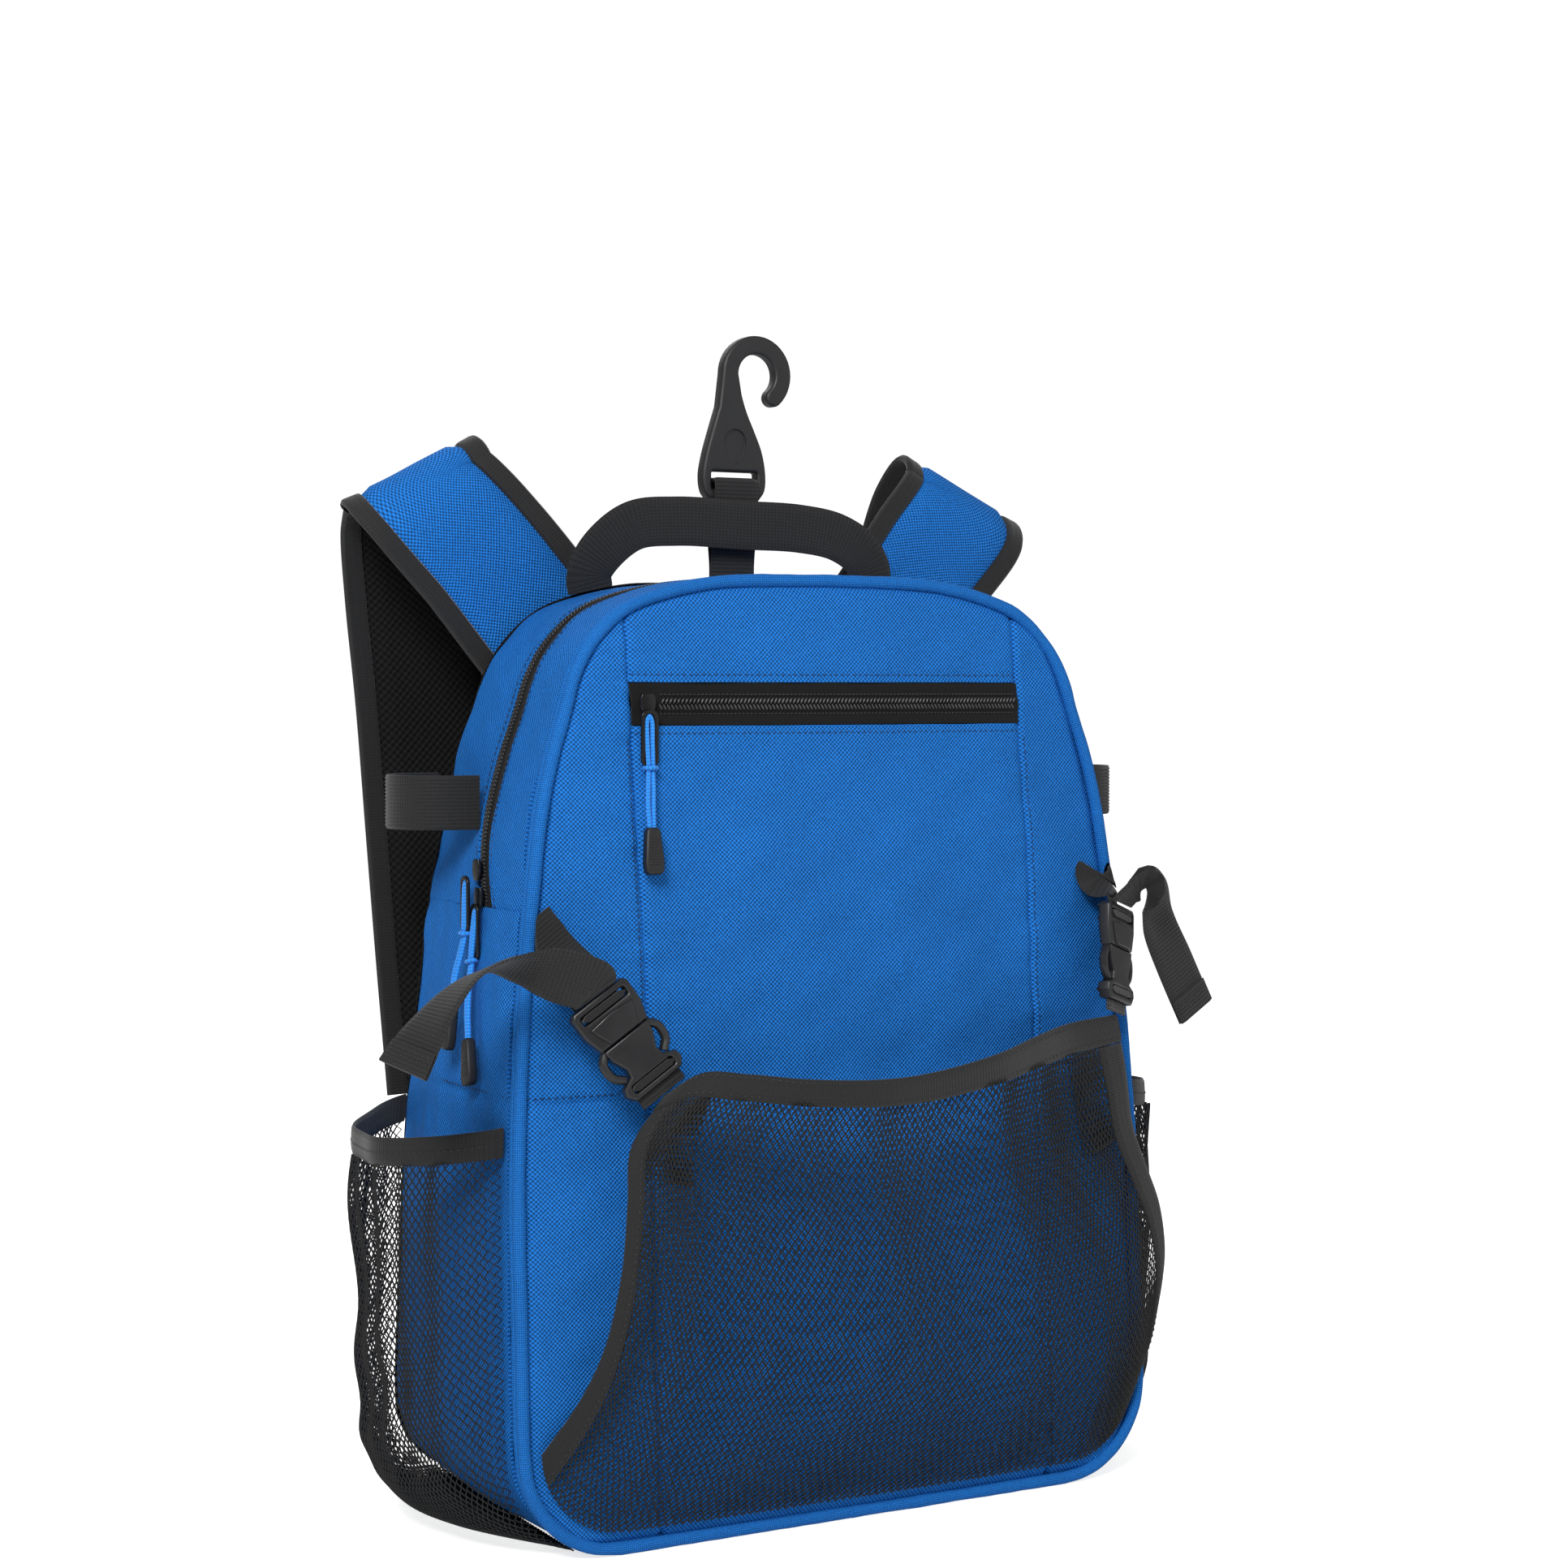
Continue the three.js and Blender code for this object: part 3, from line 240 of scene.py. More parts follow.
def waves(u, v, seed, length, count=7):
    """A soft random surface, about -1 to 1 high, of a few seeded waves about that long."""
    rng = np.random.default_rng(seed)
    total = np.zeros(np.broadcast(u, v).shape)
    for _ in range(count):
        angle = rng.uniform(0, 2 * math.pi)
        scale = 2 * math.pi / (length * rng.uniform(0.6, 1.7))
        start = rng.uniform(0, 2 * math.pi)
        total = total + np.sin((u * math.cos(angle) + v * math.sin(angle)) * scale + start)
    return total / math.sqrt(count)


def bell(off, height, width):
    """The height of a bell curve at a distance from its middle, for grooves and ridges."""
    return height * np.exp(-(off / width) ** 2)


# The bag's outline
def trace_half_outline():
    flat = BAG_HALF_WIDTH - CORNER_RADIUS
    angles = np.linspace(0, math.pi / 2, 7)
    corner = np.stack([flat + CORNER_RADIUS * np.sin(angles), CORNER_RADIUS * (1 - np.cos(angles))], axis=1)
    side = SIDE_OUTLINE[:, ::-1] * (BAG_HALF_WIDTH, BAG_HEIGHT)
    line = spline(np.vstack([corner, side]), np.linspace(0, 1, 600))
    return np.vstack([[(0.0, 0.0)], line])


OUTLINE = trace_half_outline()
OUTLINE_ALONG = travelled(OUTLINE)
OUTLINE_TANGENT = unit(np.gradient(OUTLINE[1:], axis=0))
OUTLINE_TANGENT = np.vstack([[(1.0, 0.0)], OUTLINE_TANGENT])
CORNER_SHARE = OUTLINE_ALONG[1] / OUTLINE_ALONG[-1]


def rim(way, inset=0.0):
    """x and z of the outline: way runs from -1, the crown by the left, through 0, the foot, to 1."""
    way = np.asarray(way, dtype=float)
    place = np.clip(np.abs(way), 0, 1) * OUTLINE_ALONG[-1]
    pick = lambda table, k: np.interp(place, OUTLINE_ALONG, table[:, k])
    x = pick(OUTLINE, 0) - pick(OUTLINE_TANGENT, 1) * inset
    z = pick(OUTLINE, 1) + pick(OUTLINE_TANGENT, 0) * inset
    return np.where(way < 0, -x, x), z


def bisect(reached, low, high, shape):
    low, high = np.full(shape, low), np.full(shape, high)
    for _ in range(26):
        middle = (low + high) / 2
        past = reached(middle)
        low, high = np.where(past, low, middle), np.where(past, middle, high)
    return (low + high) / 2


def way_at_height(z, inset=0.0):
    z = np.asarray(z, dtype=float)
    return bisect(lambda way: rim(way, inset)[1] >= z, CORNER_SHARE, 1.0, z.shape)


def way_at_half_width(x, inset=0.0):
    x = np.abs(np.asarray(x, dtype=float))
    return bisect(lambda way: rim(way, inset)[0] <= x, 0.5, 1.0, x.shape)


def front_plane(z):
    return -FRONT_LEAN * (1 - z / BAG_HEIGHT)


def back_plane(z):
    return DEPTH_AT_TOP + BACK_LEAN * (1 - z / BAG_HEIGHT)


def depth_at(z):
    return back_plane(z) - front_plane(z)


def dome(x, z):
    half = rim(way_at_height(np.clip(z, 1, BAG_HEIGHT - 1)))[0]
    upright = np.sin(math.pi * np.clip(z / BAG_HEIGHT, 0, 1))
    return np.maximum(0, 1 - (x / half) ** 2) * np.maximum(upright, 0) ** 0.6


def stack(x, y, z):
    return np.stack(np.broadcast_arrays(x, y, z), axis=-1)


def front_face(x, z, lift=0.0):
    return stack(x, front_plane(z) - FRONT_SWELL * dome(x, z) - lift, z)


def back_face(x, z, lift=0.0):
    return stack(x, back_plane(z) + BACK_THICKNESS + BACK_CROWN * dome(x, z) + lift, z)


def seam_left(z):
    return -lerp(SEAM_LEFT[0], SEAM_LEFT[1], z / BAG_HEIGHT)


def seam_right(z):
    return lerp(SEAM_RIGHT[0], SEAM_RIGHT[1], z / BAG_HEIGHT)


def gusset_point(way, behind, sink=0.0):
    """A point of the gusset's outer face, at a distance behind the front seam."""
    base_z = rim(way, GUSSET_INSET)[1]
    share = np.clip(behind / depth_at(base_z), 0, 1)
    low_side = np.clip(1 - base_z / BAG_HEIGHT, 0, 1) * np.clip(base_z / CORNER_RADIUS, 0, 1)
    swell = 2 * SIDE_SWELL * low_side * np.sin(math.pi * share)
    x, z = rim(way, GUSSET_INSET - swell + sink)
    return stack(x, front_plane(base_z) + behind, z)


def gusset_reach(z, behind):
    way = way_at_height(np.maximum(z, GUSSET_INSET + 2), GUSSET_INSET)
    return gusset_point(way, behind)[..., 0]


def zip_behind(way):
    z = rim(way, GUSSET_INSET)[1]
    low = np.clip((MAIN_ZIP_END + MAIN_ZIP_DIP_HEIGHT - z) / MAIN_ZIP_DIP_HEIGHT, 0, 1)
    return depth_at(z) * (MAIN_ZIP_SHARE - MAIN_ZIP_DIP * low ** 2)


ZIP_END_WAY = float(way_at_height(MAIN_ZIP_END, GUSSET_INSET))


def gusset_back_edge(way):
    return depth_at(rim(way, GUSSET_INSET)[1]) - SEAM_GAP


def over_top(share):
    turn = lerp(ZIP_END_WAY, 2 - ZIP_END_WAY, share)
    return np.where(turn < 1, turn, turn - 2)


# Shapes are (points, faces, uv of each face corner), all in millimetres
def grid_normals(points):
    return unit(np.cross(np.gradient(points, axis=0), np.gradient(points, axis=1)))


def quads(points, uv, wrap=False):
    """Quads over a grid of points; wrap closes its second way, and uv then has one more column."""
    rows, columns = points.shape[:2]
    i, j = np.meshgrid(np.arange(rows - 1), np.arange(columns if wrap else columns - 1), indexing="ij")
    corner = lambda a, b: a * columns + b % columns
    faces = np.stack([corner(i, j), corner(i + 1, j), corner(i + 1, j + 1), corner(i, j + 1)], axis=-1)
    loops = np.stack([uv[i, j], uv[i + 1, j], uv[i + 1, j + 1], uv[i, j + 1]], axis=2)
    return points.reshape(-1, 3), faces.reshape(-1, 4).tolist(), loops.reshape(-1, 2)


def outward(shape):
    """The same closed shape with its faces pointing out."""
    points, faces, loops = shape
    centred = points - points.mean(axis=0)
    volume = 0.0
    for face in faces:
        first = centred[face[0]]
        for k in range(1, len(face) - 1):
            volume += float(np.dot(first, np.cross(centred[face[k]], centred[face[k + 1]])))
    if volume >= 0:
        return shape
    flipped, start = np.empty_like(loops), 0
    for face in faces:
        flipped[start:start + len(face)] = loops[start:start + len(face)][::-1]
        start += len(face)
    return points, [face[::-1] for face in faces], flipped


def shell(points, thickness, uv):
    """A closed wall about a grid of middle points."""
    half = grid_normals(points) * (np.broadcast_to(thickness, points.shape[:2])[..., None] / 2)
    ring = np.concatenate([points + half, (points - half)[:, ::-1]], axis=1)
    ring_uv = np.concatenate([uv, uv[:, ::-1], uv[:, :1]], axis=1)
    flat, faces, loops = quads(ring, ring_uv, wrap=True)
    columns = points.shape[1]
    loops = [loops]
    for row in (0, points.shape[0] - 1):
        start = row * 2 * columns
        for j in range(columns - 1):
            face = [start + j, start + j + 1, start + 2 * columns - 2 - j, start + 2 * columns - 1 - j]
            corners = uv[row, [j, j + 1, j + 1, j]]
            if row:
                face, corners = face[::-1], corners[::-1]
            faces.append(face)
            loops.append(corners)
    return outward_fast((flat, faces, np.concatenate(loops)))


def outward_fast(shape):
    """Like outward, for shapes whose faces all have four corners."""
    points, faces, loops = shape
    centred = points - points.mean(axis=0)
    a, b, c, d = (centred[np.array(faces)[:, k]] for k in range(4))
    volume = np.einsum("ij,ij->", a, np.cross(b, c)) + np.einsum("ij,ij->", a, np.cross(c, d))
    if volume >= 0:
        return shape
    return points, [face[::-1] for face in faces], loops.reshape(-1, 4, 2)[:, ::-1].reshape(-1, 2)


def swept(centres, across, normal, profile):
    """A profile of (across, normal) offsets swept along the centres, with flat ends."""
    centres = np.asarray(centres)
    profile = np.broadcast_to(profile, (len(centres),) + np.shape(profile)[-2:])
    points = (centres[:, None] + across[:, None] * profile[..., :1] + normal[:, None] * profile[..., 1:])
    along = travelled(centres)
    edge = np.concatenate([profile, profile[:, :1]], axis=1)
    uv = stack(along[:, None], edge[..., 0], 0.0)[..., :2]
    flat, faces, loops = quads(points, uv, wrap=True)
    sides = profile.shape[1]
    last = (len(centres) - 1) * sides
    faces += [list(range(sides))[::-1], list(range(last, last + sides))]
    loops = np.concatenate([loops, uv[0, :sides][::-1], uv[-1, :sides]])
    return outward((flat, faces, loops))


def tube_frames(points):
    """Directions across a line of points that turn with it and don't twist."""
    along = unit(np.gradient(points, axis=0))
    start = np.array((0.0, 0.0, 1.0)) if abs(along[0][2]) < 0.9 else np.array((1.0, 0.0, 0.0))
    sides = [unit(start - along[0] * np.dot(start, along[0]))]
    for direction in along[1:]:
        carried = sides[-1] - direction * np.dot(sides[-1], direction)
        sides.append(unit(carried))
    sides = np.array(sides)
    return sides, np.cross(along, sides)


def tube(points, radius, sides=12):
    points = np.asarray(points, dtype=float)
    across, normal = tube_frames(points)
    angles = np.linspace(0, 2 * math.pi, sides, endpoint=False)
    ring = np.stack([np.cos(angles), np.sin(angles)], axis=1)
    radius = np.broadcast_to(radius, (len(points),))
    shape = swept(points, across, normal, ring[None] * radius[:, None, None])
    flat, faces, loops = shape
    turn = np.arange(sides + 1) / sides * 2 * math.pi * float(np.mean(radius))
    along = travelled(points)
    i, j = np.meshgrid(np.arange(len(points) - 1), np.arange(sides), indexing="ij")
    uv = stack(along[:, None], turn[None], 0.0)[..., :2]
    body = np.stack([uv[i, j], uv[i + 1, j], uv[i + 1, j + 1], uv[i, j + 1]], axis=2).reshape(-1, 4, 2)
    if faces[0][0] > faces[0][-1]:
        body = body[:, ::-1]
    loops = np.concatenate([body.reshape(-1, 2), loops[len(body) * 4:]])
    return flat, faces, loops


def band_profile(width, thickness, ribs=0, depth=0.0, crown=0.0):
    """A flat band's section with round edges, and lengthwise ribs if it has them."""
    columns = max(10, 4 * ribs)
    across = np.linspace(-width / 2, width / 2, columns + 1)
    inner = np.abs(2 * across / width)
    half = thickness / 2 * np.sqrt(np.clip(1 - np.maximum(inner - 1 + thickness / width, 0) ** 2
                                           / (thickness / width) ** 2, 0.02, 1))
    half = half + crown * (1 - inner ** 2)
    if ribs:
        half = half + depth * (np.cos(2 * math.pi * ribs * (across / width + 0.5)) - 1) / 2 * (inner < 0.97)
    top = np.stack([across, half], axis=1)
    low = np.stack([across, -half], axis=1)[::-1]
    return np.concatenate([top, low])


def band_stations(stations, steps):
    """Centres, across and normal directions of a band through stations of (point, across)."""
    share = np.linspace(0, 1, steps + 1)
    spine = spline([at for at, _ in stations], share)
    lean = spline([across for _, across in stations], share)
    along = unit(np.gradient(spine, axis=0))
    across = unit(lean - along * np.sum(lean * along, axis=1, keepdims=True))
    return spine, across, np.cross(along, across), along


def band(stations, width, thickness, steps, shift=0.0, **section):
    spine, across, normal, _ = band_stations(stations, steps)
    return swept(spine + across * shift, across, normal, band_profile(width, thickness, **section))


def plate(outline, thickness, bevel, holes=(), bevel_steps=2):
    """A flat plate of an outline and its holes, in its own x and y, with bevelled edges."""
    curve = bpy.data.curves.new("plate", "CURVE")
    curve.dimensions = "2D"
    curve.fill_mode = "BOTH"
    curve.extrude = thickness / 2 - bevel
    curve.bevel_depth = bevel
    curve.bevel_resolution = bevel_steps
    curve.offset = -bevel
    for line in (outline, *holes):
        run = curve.splines.new("POLY")
        run.points.add(len(line) - 1)
        run.points.foreach_set("co", [c for x, y in line for c in (x, y, 0, 1)])
        run.use_cyclic_u = True
    obj = bpy.data.objects.new("plate", curve)
    bpy.context.scene.collection.objects.link(obj)
    mesh = bpy.data.meshes.new_from_object(obj.evaluated_get(bpy.context.evaluated_depsgraph_get()))
    bpy.data.objects.remove(obj)
    merged = bmesh.new()
    merged.from_mesh(mesh)
    bmesh.ops.remove_doubles(merged, verts=merged.verts, dist=0.002)
    bmesh.ops.dissolve_degenerate(merged, edges=merged.edges, dist=0.001)
    bmesh.ops.recalc_face_normals(merged, faces=merged.faces)
    points = np.array([vertex.co[:] for vertex in merged.verts])
    faces = [[vertex.index for vertex in face.verts] for face in merged.faces]
    merged.free()
    bpy.data.meshes.remove(mesh)
    return points, faces, flat_uv(points, faces)


def flat_uv(points, faces):
    """The uv of a plate, from its x and y."""
    return np.array([points[k][:2] for face in faces for k in face])


def placed(shape, centre, along, across):
    """A shape whose y becomes along and whose x becomes across, at its centre."""
    points, faces, loops = shape
    length = unit(along)
    width = unit(np.asarray(across, dtype=float) - length * np.dot(across, length))
    axes = np.stack([width, length, np.cross(width, length)])
    return points @ axes + np.asarray(centre), faces, loops


def moved(shape, offset):
    points, faces, loops = shape
    return points + np.asarray(offset), faces, loops


def joined(shapes):
    points, faces, loops, start = [], [], [], 0
    for part_points, part_faces, part_loops in shapes:
        points.append(part_points)
        faces += [[k + start for k in face] for face in part_faces]
        loops.append(part_loops)
        start += len(part_points)
    return np.concatenate(points), faces, np.concatenate(loops)


def rounded_rectangle(width, height, radius, steps=6):
    corners = [(1, 1, 0), (-1, 1, 90), (-1, -1, 180), (1, -1, 270)]
    line = []
    for sx, sy, start in corners:
        for k in range(steps + 1):
            angle = math.radians(start + 90 * k / steps)
            line.append((sx * (width / 2 - radius) + radius * math.cos(angle),
                         sy * (height / 2 - radius) + radius * math.sin(angle)))
    return line


def shifted(line, x, y):
    return [(a + x, b + y) for a, b in line]


def mesh_of(name, shape):
    points, faces, loops = shape
    mesh = bpy.data.meshes.new(name)
    mesh.from_pydata(to_frame(points).tolist(), [], faces)
    layer = mesh.uv_layers.new(name="UVMap")
    layer.data.foreach_set("uv", (np.asarray(loops) * MM).astype(np.float32).ravel())
    return mesh


def piece(name, shape, slot, *nodes, sharp=40, materials=None):
    """A finished piece in its slot's material, which rides on the bag and stands for its nodes."""
    mesh = shape if isinstance(shape, bpy.types.Mesh) else mesh_of(name, shape)
    mesh.name = name
    mesh.materials.clear()
    for slot_name in materials or [slot]:
        mesh.materials.append(finish(slot_name))
    mesh.shade_smooth()
    mesh.set_sharp_from_angle(angle=math.radians(sharp))
    obj = bpy.data.objects.new(name, mesh)
    bpy.context.scene.collection.objects.link(obj)
    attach(obj, "root")
    if nodes:
        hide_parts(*nodes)
    return obj


# Materials
def add(tree, kind, inputs=None, **settings):
    """Adds a node with its settings, and sets or links its inputs."""
    node = tree.nodes.new(kind)
    for key, value in settings.items():
        setattr(node, key, value)
    for socket, value in (inputs or {}).items():
        if isinstance(value, bpy.types.NodeSocket):
            tree.links.new(value, node.inputs[socket])
        else:
            node.inputs[socket].default_value = value
    return node


def start_material(name, **shader_inputs):
    material = bpy.data.materials.new(name)
    material.use_nodes = True
    tree = material.node_tree
    tree.nodes.clear()
    shader = add(tree, "ShaderNodeBsdfPrincipled", shader_inputs)
    out = add(tree, "ShaderNodeOutputMaterial")
    tree.links.new(shader.outputs["BSDF"], out.inputs["Surface"])
    return material, tree, shader


def ramp_between(tree, source, stops):
    ramp = add(tree, "ShaderNodeValToRGB", {"Fac": source})
    elements = ramp.color_ramp.elements
    while len(elements) < len(stops):
        elements.new(0.5)
    for element, (place, colour) in zip(elements, stops):
        element.position = place
        element.color = colour
    return ramp.outputs["Color"]


def thread_waves(tree, pitch_u, pitch_v, turn=0.0):
    """Sines along and across the cloth, one wave to a thread pair, from the piece's UV in metres."""
    uv = add(tree, "ShaderNodeUVMap", uv_map="UVMap")
    turned = add(tree, "ShaderNodeMapping", {
        "Vector": uv.outputs["UV"],
        "Rotation": (0, 0, math.radians(turn)),
    })
    scaled = add(tree, "ShaderNodeVectorMath", {
        0: turned.outputs["Vector"],
        1: (2 * math.pi / pitch_u, 2 * math.pi / pitch_v, 1.0),
    }, operation="MULTIPLY")
    sine = add(tree, "ShaderNodeVectorMath", {0: scaled.outputs["Vector"]}, operation="SINE")
    parts = add(tree, "ShaderNodeSeparateXYZ", {"Vector": sine.outputs["Vector"]})
    return parts.outputs["X"], parts.outputs["Y"]


def level(tree, source, low=0.0, high=1.0):
    node = add(tree, "ShaderNodeMapRange", {
        "Value": source, "From Min": -1.0, "From Max": 1.0, "To Min": low, "To Max": high,
    })
    return node.outputs["Result"]


def woven(name, dark, light, pitch, turn=0.0, depth=0.35, roughness=0.8, sheen=0.0, sheen_patch_swing=0.05):
    """Plain-woven yarn: a lattice of raised thread crossings, lighter on top, over a soft uneven tone."""
    material, tree, shader = start_material(name, **{
        "Roughness": roughness, "Sheen Weight": sheen, "Sheen Roughness": 0.5, "Specular IOR Level": 0.16,
    })
    u, v = thread_waves(tree, pitch, pitch, turn)
    lattice = add(tree, "ShaderNodeMath", {0: u, 1: v}, operation="MULTIPLY").outputs["Value"]
    coords = add(tree, "ShaderNodeTexCoord").outputs["Object"]
    fuzz = add(tree, "ShaderNodeTexNoise", {"Vector": coords, "Scale": 900.0, "Detail": 2.0}).outputs["Fac"]
    tone = add(tree, "ShaderNodeTexNoise", {"Vector": coords, "Scale": 16.0, "Detail": 3.0}).outputs["Fac"]
    height = add(tree, "ShaderNodeMath", {0: fuzz, 1: 0.5, 2: level(tree, lattice)}, operation="MULTIPLY_ADD")
    # The colour follows the thread height: painted highlight where the crossings stand up, painted shade in
    # the hollows between them
    weave_highlight_and_shade = add(tree, "ShaderNodeMath", {0: height.outputs["Value"], 1: 0.78}, operation="MULTIPLY")
    colour = ramp_between(tree, weave_highlight_and_shade.outputs["Value"], [(0.25, dark), (0.95, light)])
    # Broad patches of painted sheen: the colour is made a little lighter and darker in soft blotches
    swing = add(tree, "ShaderNodeMapRange", {
        "Value": tone, "From Min": 0.3, "From Max": 0.7, "To Min": 1 - sheen_patch_swing, "To Max": 1 + sheen_patch_swing,
    })
    toned = add(tree, "ShaderNodeVectorMath", {0: colour, 3: swing.outputs["Result"]}, operation="SCALE")
    tree.links.new(toned.outputs["Vector"], shader.inputs["Base Color"])
    bump = add(tree, "ShaderNodeBump", {
        "Height": height.outputs["Value"], "Strength": 0.9, "Distance": depth * MM,
    })
    tree.links.new(bump.outputs["Normal"], shader.inputs["Normal"])
    return material


def ribbed(name, dark, light, along_pitch, across_pitch, depth=0.3, roughness=0.75):
    """Woven tape: ribs across its length and finer yarns along it."""
    material, tree, shader = start_material(name, **{
        "Roughness": roughness, "Sheen Weight": 0.2, "Specular IOR Level": 0.35,
    })
    u, v = thread_waves(tree, along_pitch, across_pitch)
    soft = add(tree, "ShaderNodeMath", {0: v, 1: 0.5}, operation="MULTIPLY").outputs["Value"]
    both = add(tree, "ShaderNodeMath", {0: u, 1: soft}, operation="ADD").outputs["Value"]
    coords = add(tree, "ShaderNodeTexCoord").outputs["Object"]
    fuzz = add(tree, "ShaderNodeTexNoise", {"Vector": coords, "Scale": 1100.0, "Detail": 2.0}).outputs["Fac"]
    height = add(tree, "ShaderNodeMath", {0: fuzz, 1: 0.4, 2: level(tree, both)}, operation="MULTIPLY_ADD")
    # The colour follows the rib height: painted highlight on the crests, painted shade in the grooves
    colour = ramp_between(tree, height.outputs["Value"], [(0.1, dark), (1.2, light)])
    tree.links.new(colour, shader.inputs["Base Color"])
    bump = add(tree, "ShaderNodeBump", {
        "Height": height.outputs["Value"], "Strength": 0.9, "Distance": depth * MM,
    })
    tree.links.new(bump.outputs["Normal"], shader.inputs["Normal"])
    return material


def moulded(name, dark, light, roughness, grain=1400.0, metallic=0.0, depth=0.05):
    """Moulded or die-cast skin: an even colour with a fine spark-eroded grain and slight handling marks."""
    material, tree, shader = start_material(name, **{
        "Roughness": roughness, "Metallic": metallic, "Specular IOR Level": 0.5,
    })
    coords = add(tree, "ShaderNodeTexCoord").outputs["Object"]
    fine = add(tree, "ShaderNodeTexNoise", {"Vector": coords, "Scale": grain, "Detail": 2.0}).outputs["Fac"]
    broad = add(tree, "ShaderNodeTexNoise", {"Vector": coords, "Scale": 60.0, "Detail": 4.0}).outputs["Fac"]
    colour = ramp_between(tree, broad, [(0.3, dark), (0.7, light)])
    tree.links.new(colour, shader.inputs["Base Color"])
    worn = add(tree, "ShaderNodeMapRange", {
        "Value": broad, "From Min": 0.3, "From Max": 0.7,
        "To Min": roughness - 0.06, "To Max": roughness + 0.08,
    })
    tree.links.new(worn.outputs["Result"], shader.inputs["Roughness"])
    bump = add(tree, "ShaderNodeBump", {"Height": fine, "Strength": 0.5, "Distance": depth * MM})
    tree.links.new(bump.outputs["Normal"], shader.inputs["Normal"])
    return material


def colours():
    return bpy.context.scene.bag_colours


def sizes():
    return bpy.context.scene.bag_sizes


def shade(colour, factor):
    return tuple(min(c * factor, 1.0) for c in colour[:3]) + (1.0,)


def make_finish(slot):
    blue, black = colours().cloth[:] + (1.0,), colours().webbing[:] + (1.0,)
    plastic, cord = colours().plastic[:] + (1.0,), colours().cord[:] + (1.0,)
    pitch = sizes().weave_pitch
    # The woven and ribbed finishes take a dark and a light copy of one yarn colour: the dark copy is painted
    # shade in the hollows of the weave, the light copy a painted highlight on its raised threads
    if slot in ("blue_cloth", "strap_cloth"):
        # 600-denier polyester in a plain weave, drawn as light dots of painted highlight on a deeper ground of
        # painted shade
        return woven(f"polyester_{slot}", shade(blue, 0.35), shade(blue, 1.85), pitch, depth=0.6)
    if slot == "bias_cloth":
        # The same cloth cut on the bias, so that it bends round the piping cord
        return woven("polyester_on_the_bias", shade(blue, 0.5), shade(blue, 1.6), 0.7 * pitch, turn=45)
    if slot == "back_padding":
        # Knitted polyester spacer mesh over foam, with a lattice of small open cells: painted shade in the
        # cells and painted highlight on the knit between them
        return woven("spacer_mesh", shade(black, 0.35), shade(black, 1.5), 4 * MM, depth=0.9, roughness=0.9)
    if slot == "zip_tape":
        # Woven polyester zip tape, with a fine twill drawn in painted highlight and painted shade
        return woven("zip_tape_twill", shade(black, 0.45), shade(black, 0.9), 1.3 * MM, turn=30, depth=0.12,
                     sheen=0.1)
    if slot == "zip_metal":
        # Die-cast zinc with a black enamel
        return moulded("enamelled_zinc", linear("#141415"), linear("#1E1E20"), 0.28, metallic=0.35)
    if slot == "zip_coil":
        # Nylon monofilament coil, smooth and slightly glossy
        return moulded("nylon_coil", linear("#2A2A2B"), linear("#454546"), 0.24)
    if slot == "pull_cord":
        # Braided polyester cord
        return ribbed("braided_cord", shade(cord, 0.7), shade(cord, 1.25), 1.6 * MM, 1.6 * MM, depth=0.1)
    if slot == "cord_tip_plastic":
        # Soft moulded PVC cord end
        return moulded("soft_pvc", shade(plastic, 0.6), shade(plastic, 0.8), 0.5)
    if slot == "net":
        # Warp-knitted polyester thread
        return moulded("knitted_net_thread", linear("#101010"), linear("#1C1C1D"), 0.75, grain=2500.0,
                        depth=0.08)
    if slot == "binding_tape":
        # Polyester twill tape, folded over the net's edge
        return ribbed("binding_twill", shade(black, 0.75), shade(black, 1.25), 1.5 * MM, 3.4 * MM, depth=0.12)
    if slot == "elastic":
        # Woven elastic, with lengthwise ribs of covered rubber
        return ribbed("woven_elastic", shade(black, 0.6), shade(black, 1.2), 1.4 * MM, 1.75 * MM, depth=0.15)
    if slot == "webbing":
        # Polypropylene webbing with weft ribs
        return ribbed("polypropylene_webbing", shade(black, 0.55), shade(black, 1.35), 2.0 * MM, 1.6 * MM)
    if slot == "blue_thread":
        # Bonded polyester sewing thread
        return moulded("blue_sewing_thread", shade(blue, 0.2), shade(blue, 0.4), 0.6, grain=3000.0)
    if slot == "black_thread":
        return moulded("black_sewing_thread", linear("#262626"), linear("#343434"), 0.5, grain=3000.0)
    if slot == "hook_plastic":
        # Glass-filled nylon from a fine-textured mould
        return moulded("matte_nylon", shade(plastic, 0.8), shade(plastic, 1.0), 0.52, grain=1800.0,
                        depth=0.08)
    # Acetal buckle parts, moulded with a satin skin
    return moulded("satin_acetal", shade(plastic, 0.85), shade(plastic, 1.05), 0.34)


FINISHES = {}


def finish(slot):
    if slot not in FINISHES:
        FINISHES[slot] = make_finish(slot)
    return FINISHES[slot]


# Geometry Nodes for what repeats
def start_tree(name, inputs):
    tree = bpy.data.node_groups.new(name, "GeometryNodeTree")
    tree.interface.new_socket("Geometry", in_out="INPUT", socket_type="NodeSocketGeometry")
    for label, kind, default in inputs:
        socket = tree.interface.new_socket(label, in_out="INPUT", socket_type=kind)
        if default is not None:
            socket.default_value = default
    tree.interface.new_socket("Geometry", in_out="OUTPUT", socket_type="NodeSocketGeometry")
    return tree, add(tree, "NodeGroupInput"), add(tree, "NodeGroupOutput")


def end_tree(tree, given, out, geometry):
    smooth = add(tree, "GeometryNodeSetShadeSmooth", {"Geometry": geometry})
    realised = add(tree, "GeometryNodeRealizeInstances", {"Geometry": smooth.outputs["Geometry"]})
    coloured = add(tree, "GeometryNodeSetMaterial", {
        "Geometry": realised.outputs["Geometry"], "Material": given.outputs["Finish"],
    })
    tree.links.new(coloured.outputs["Geometry"], out.inputs["Geometry"])


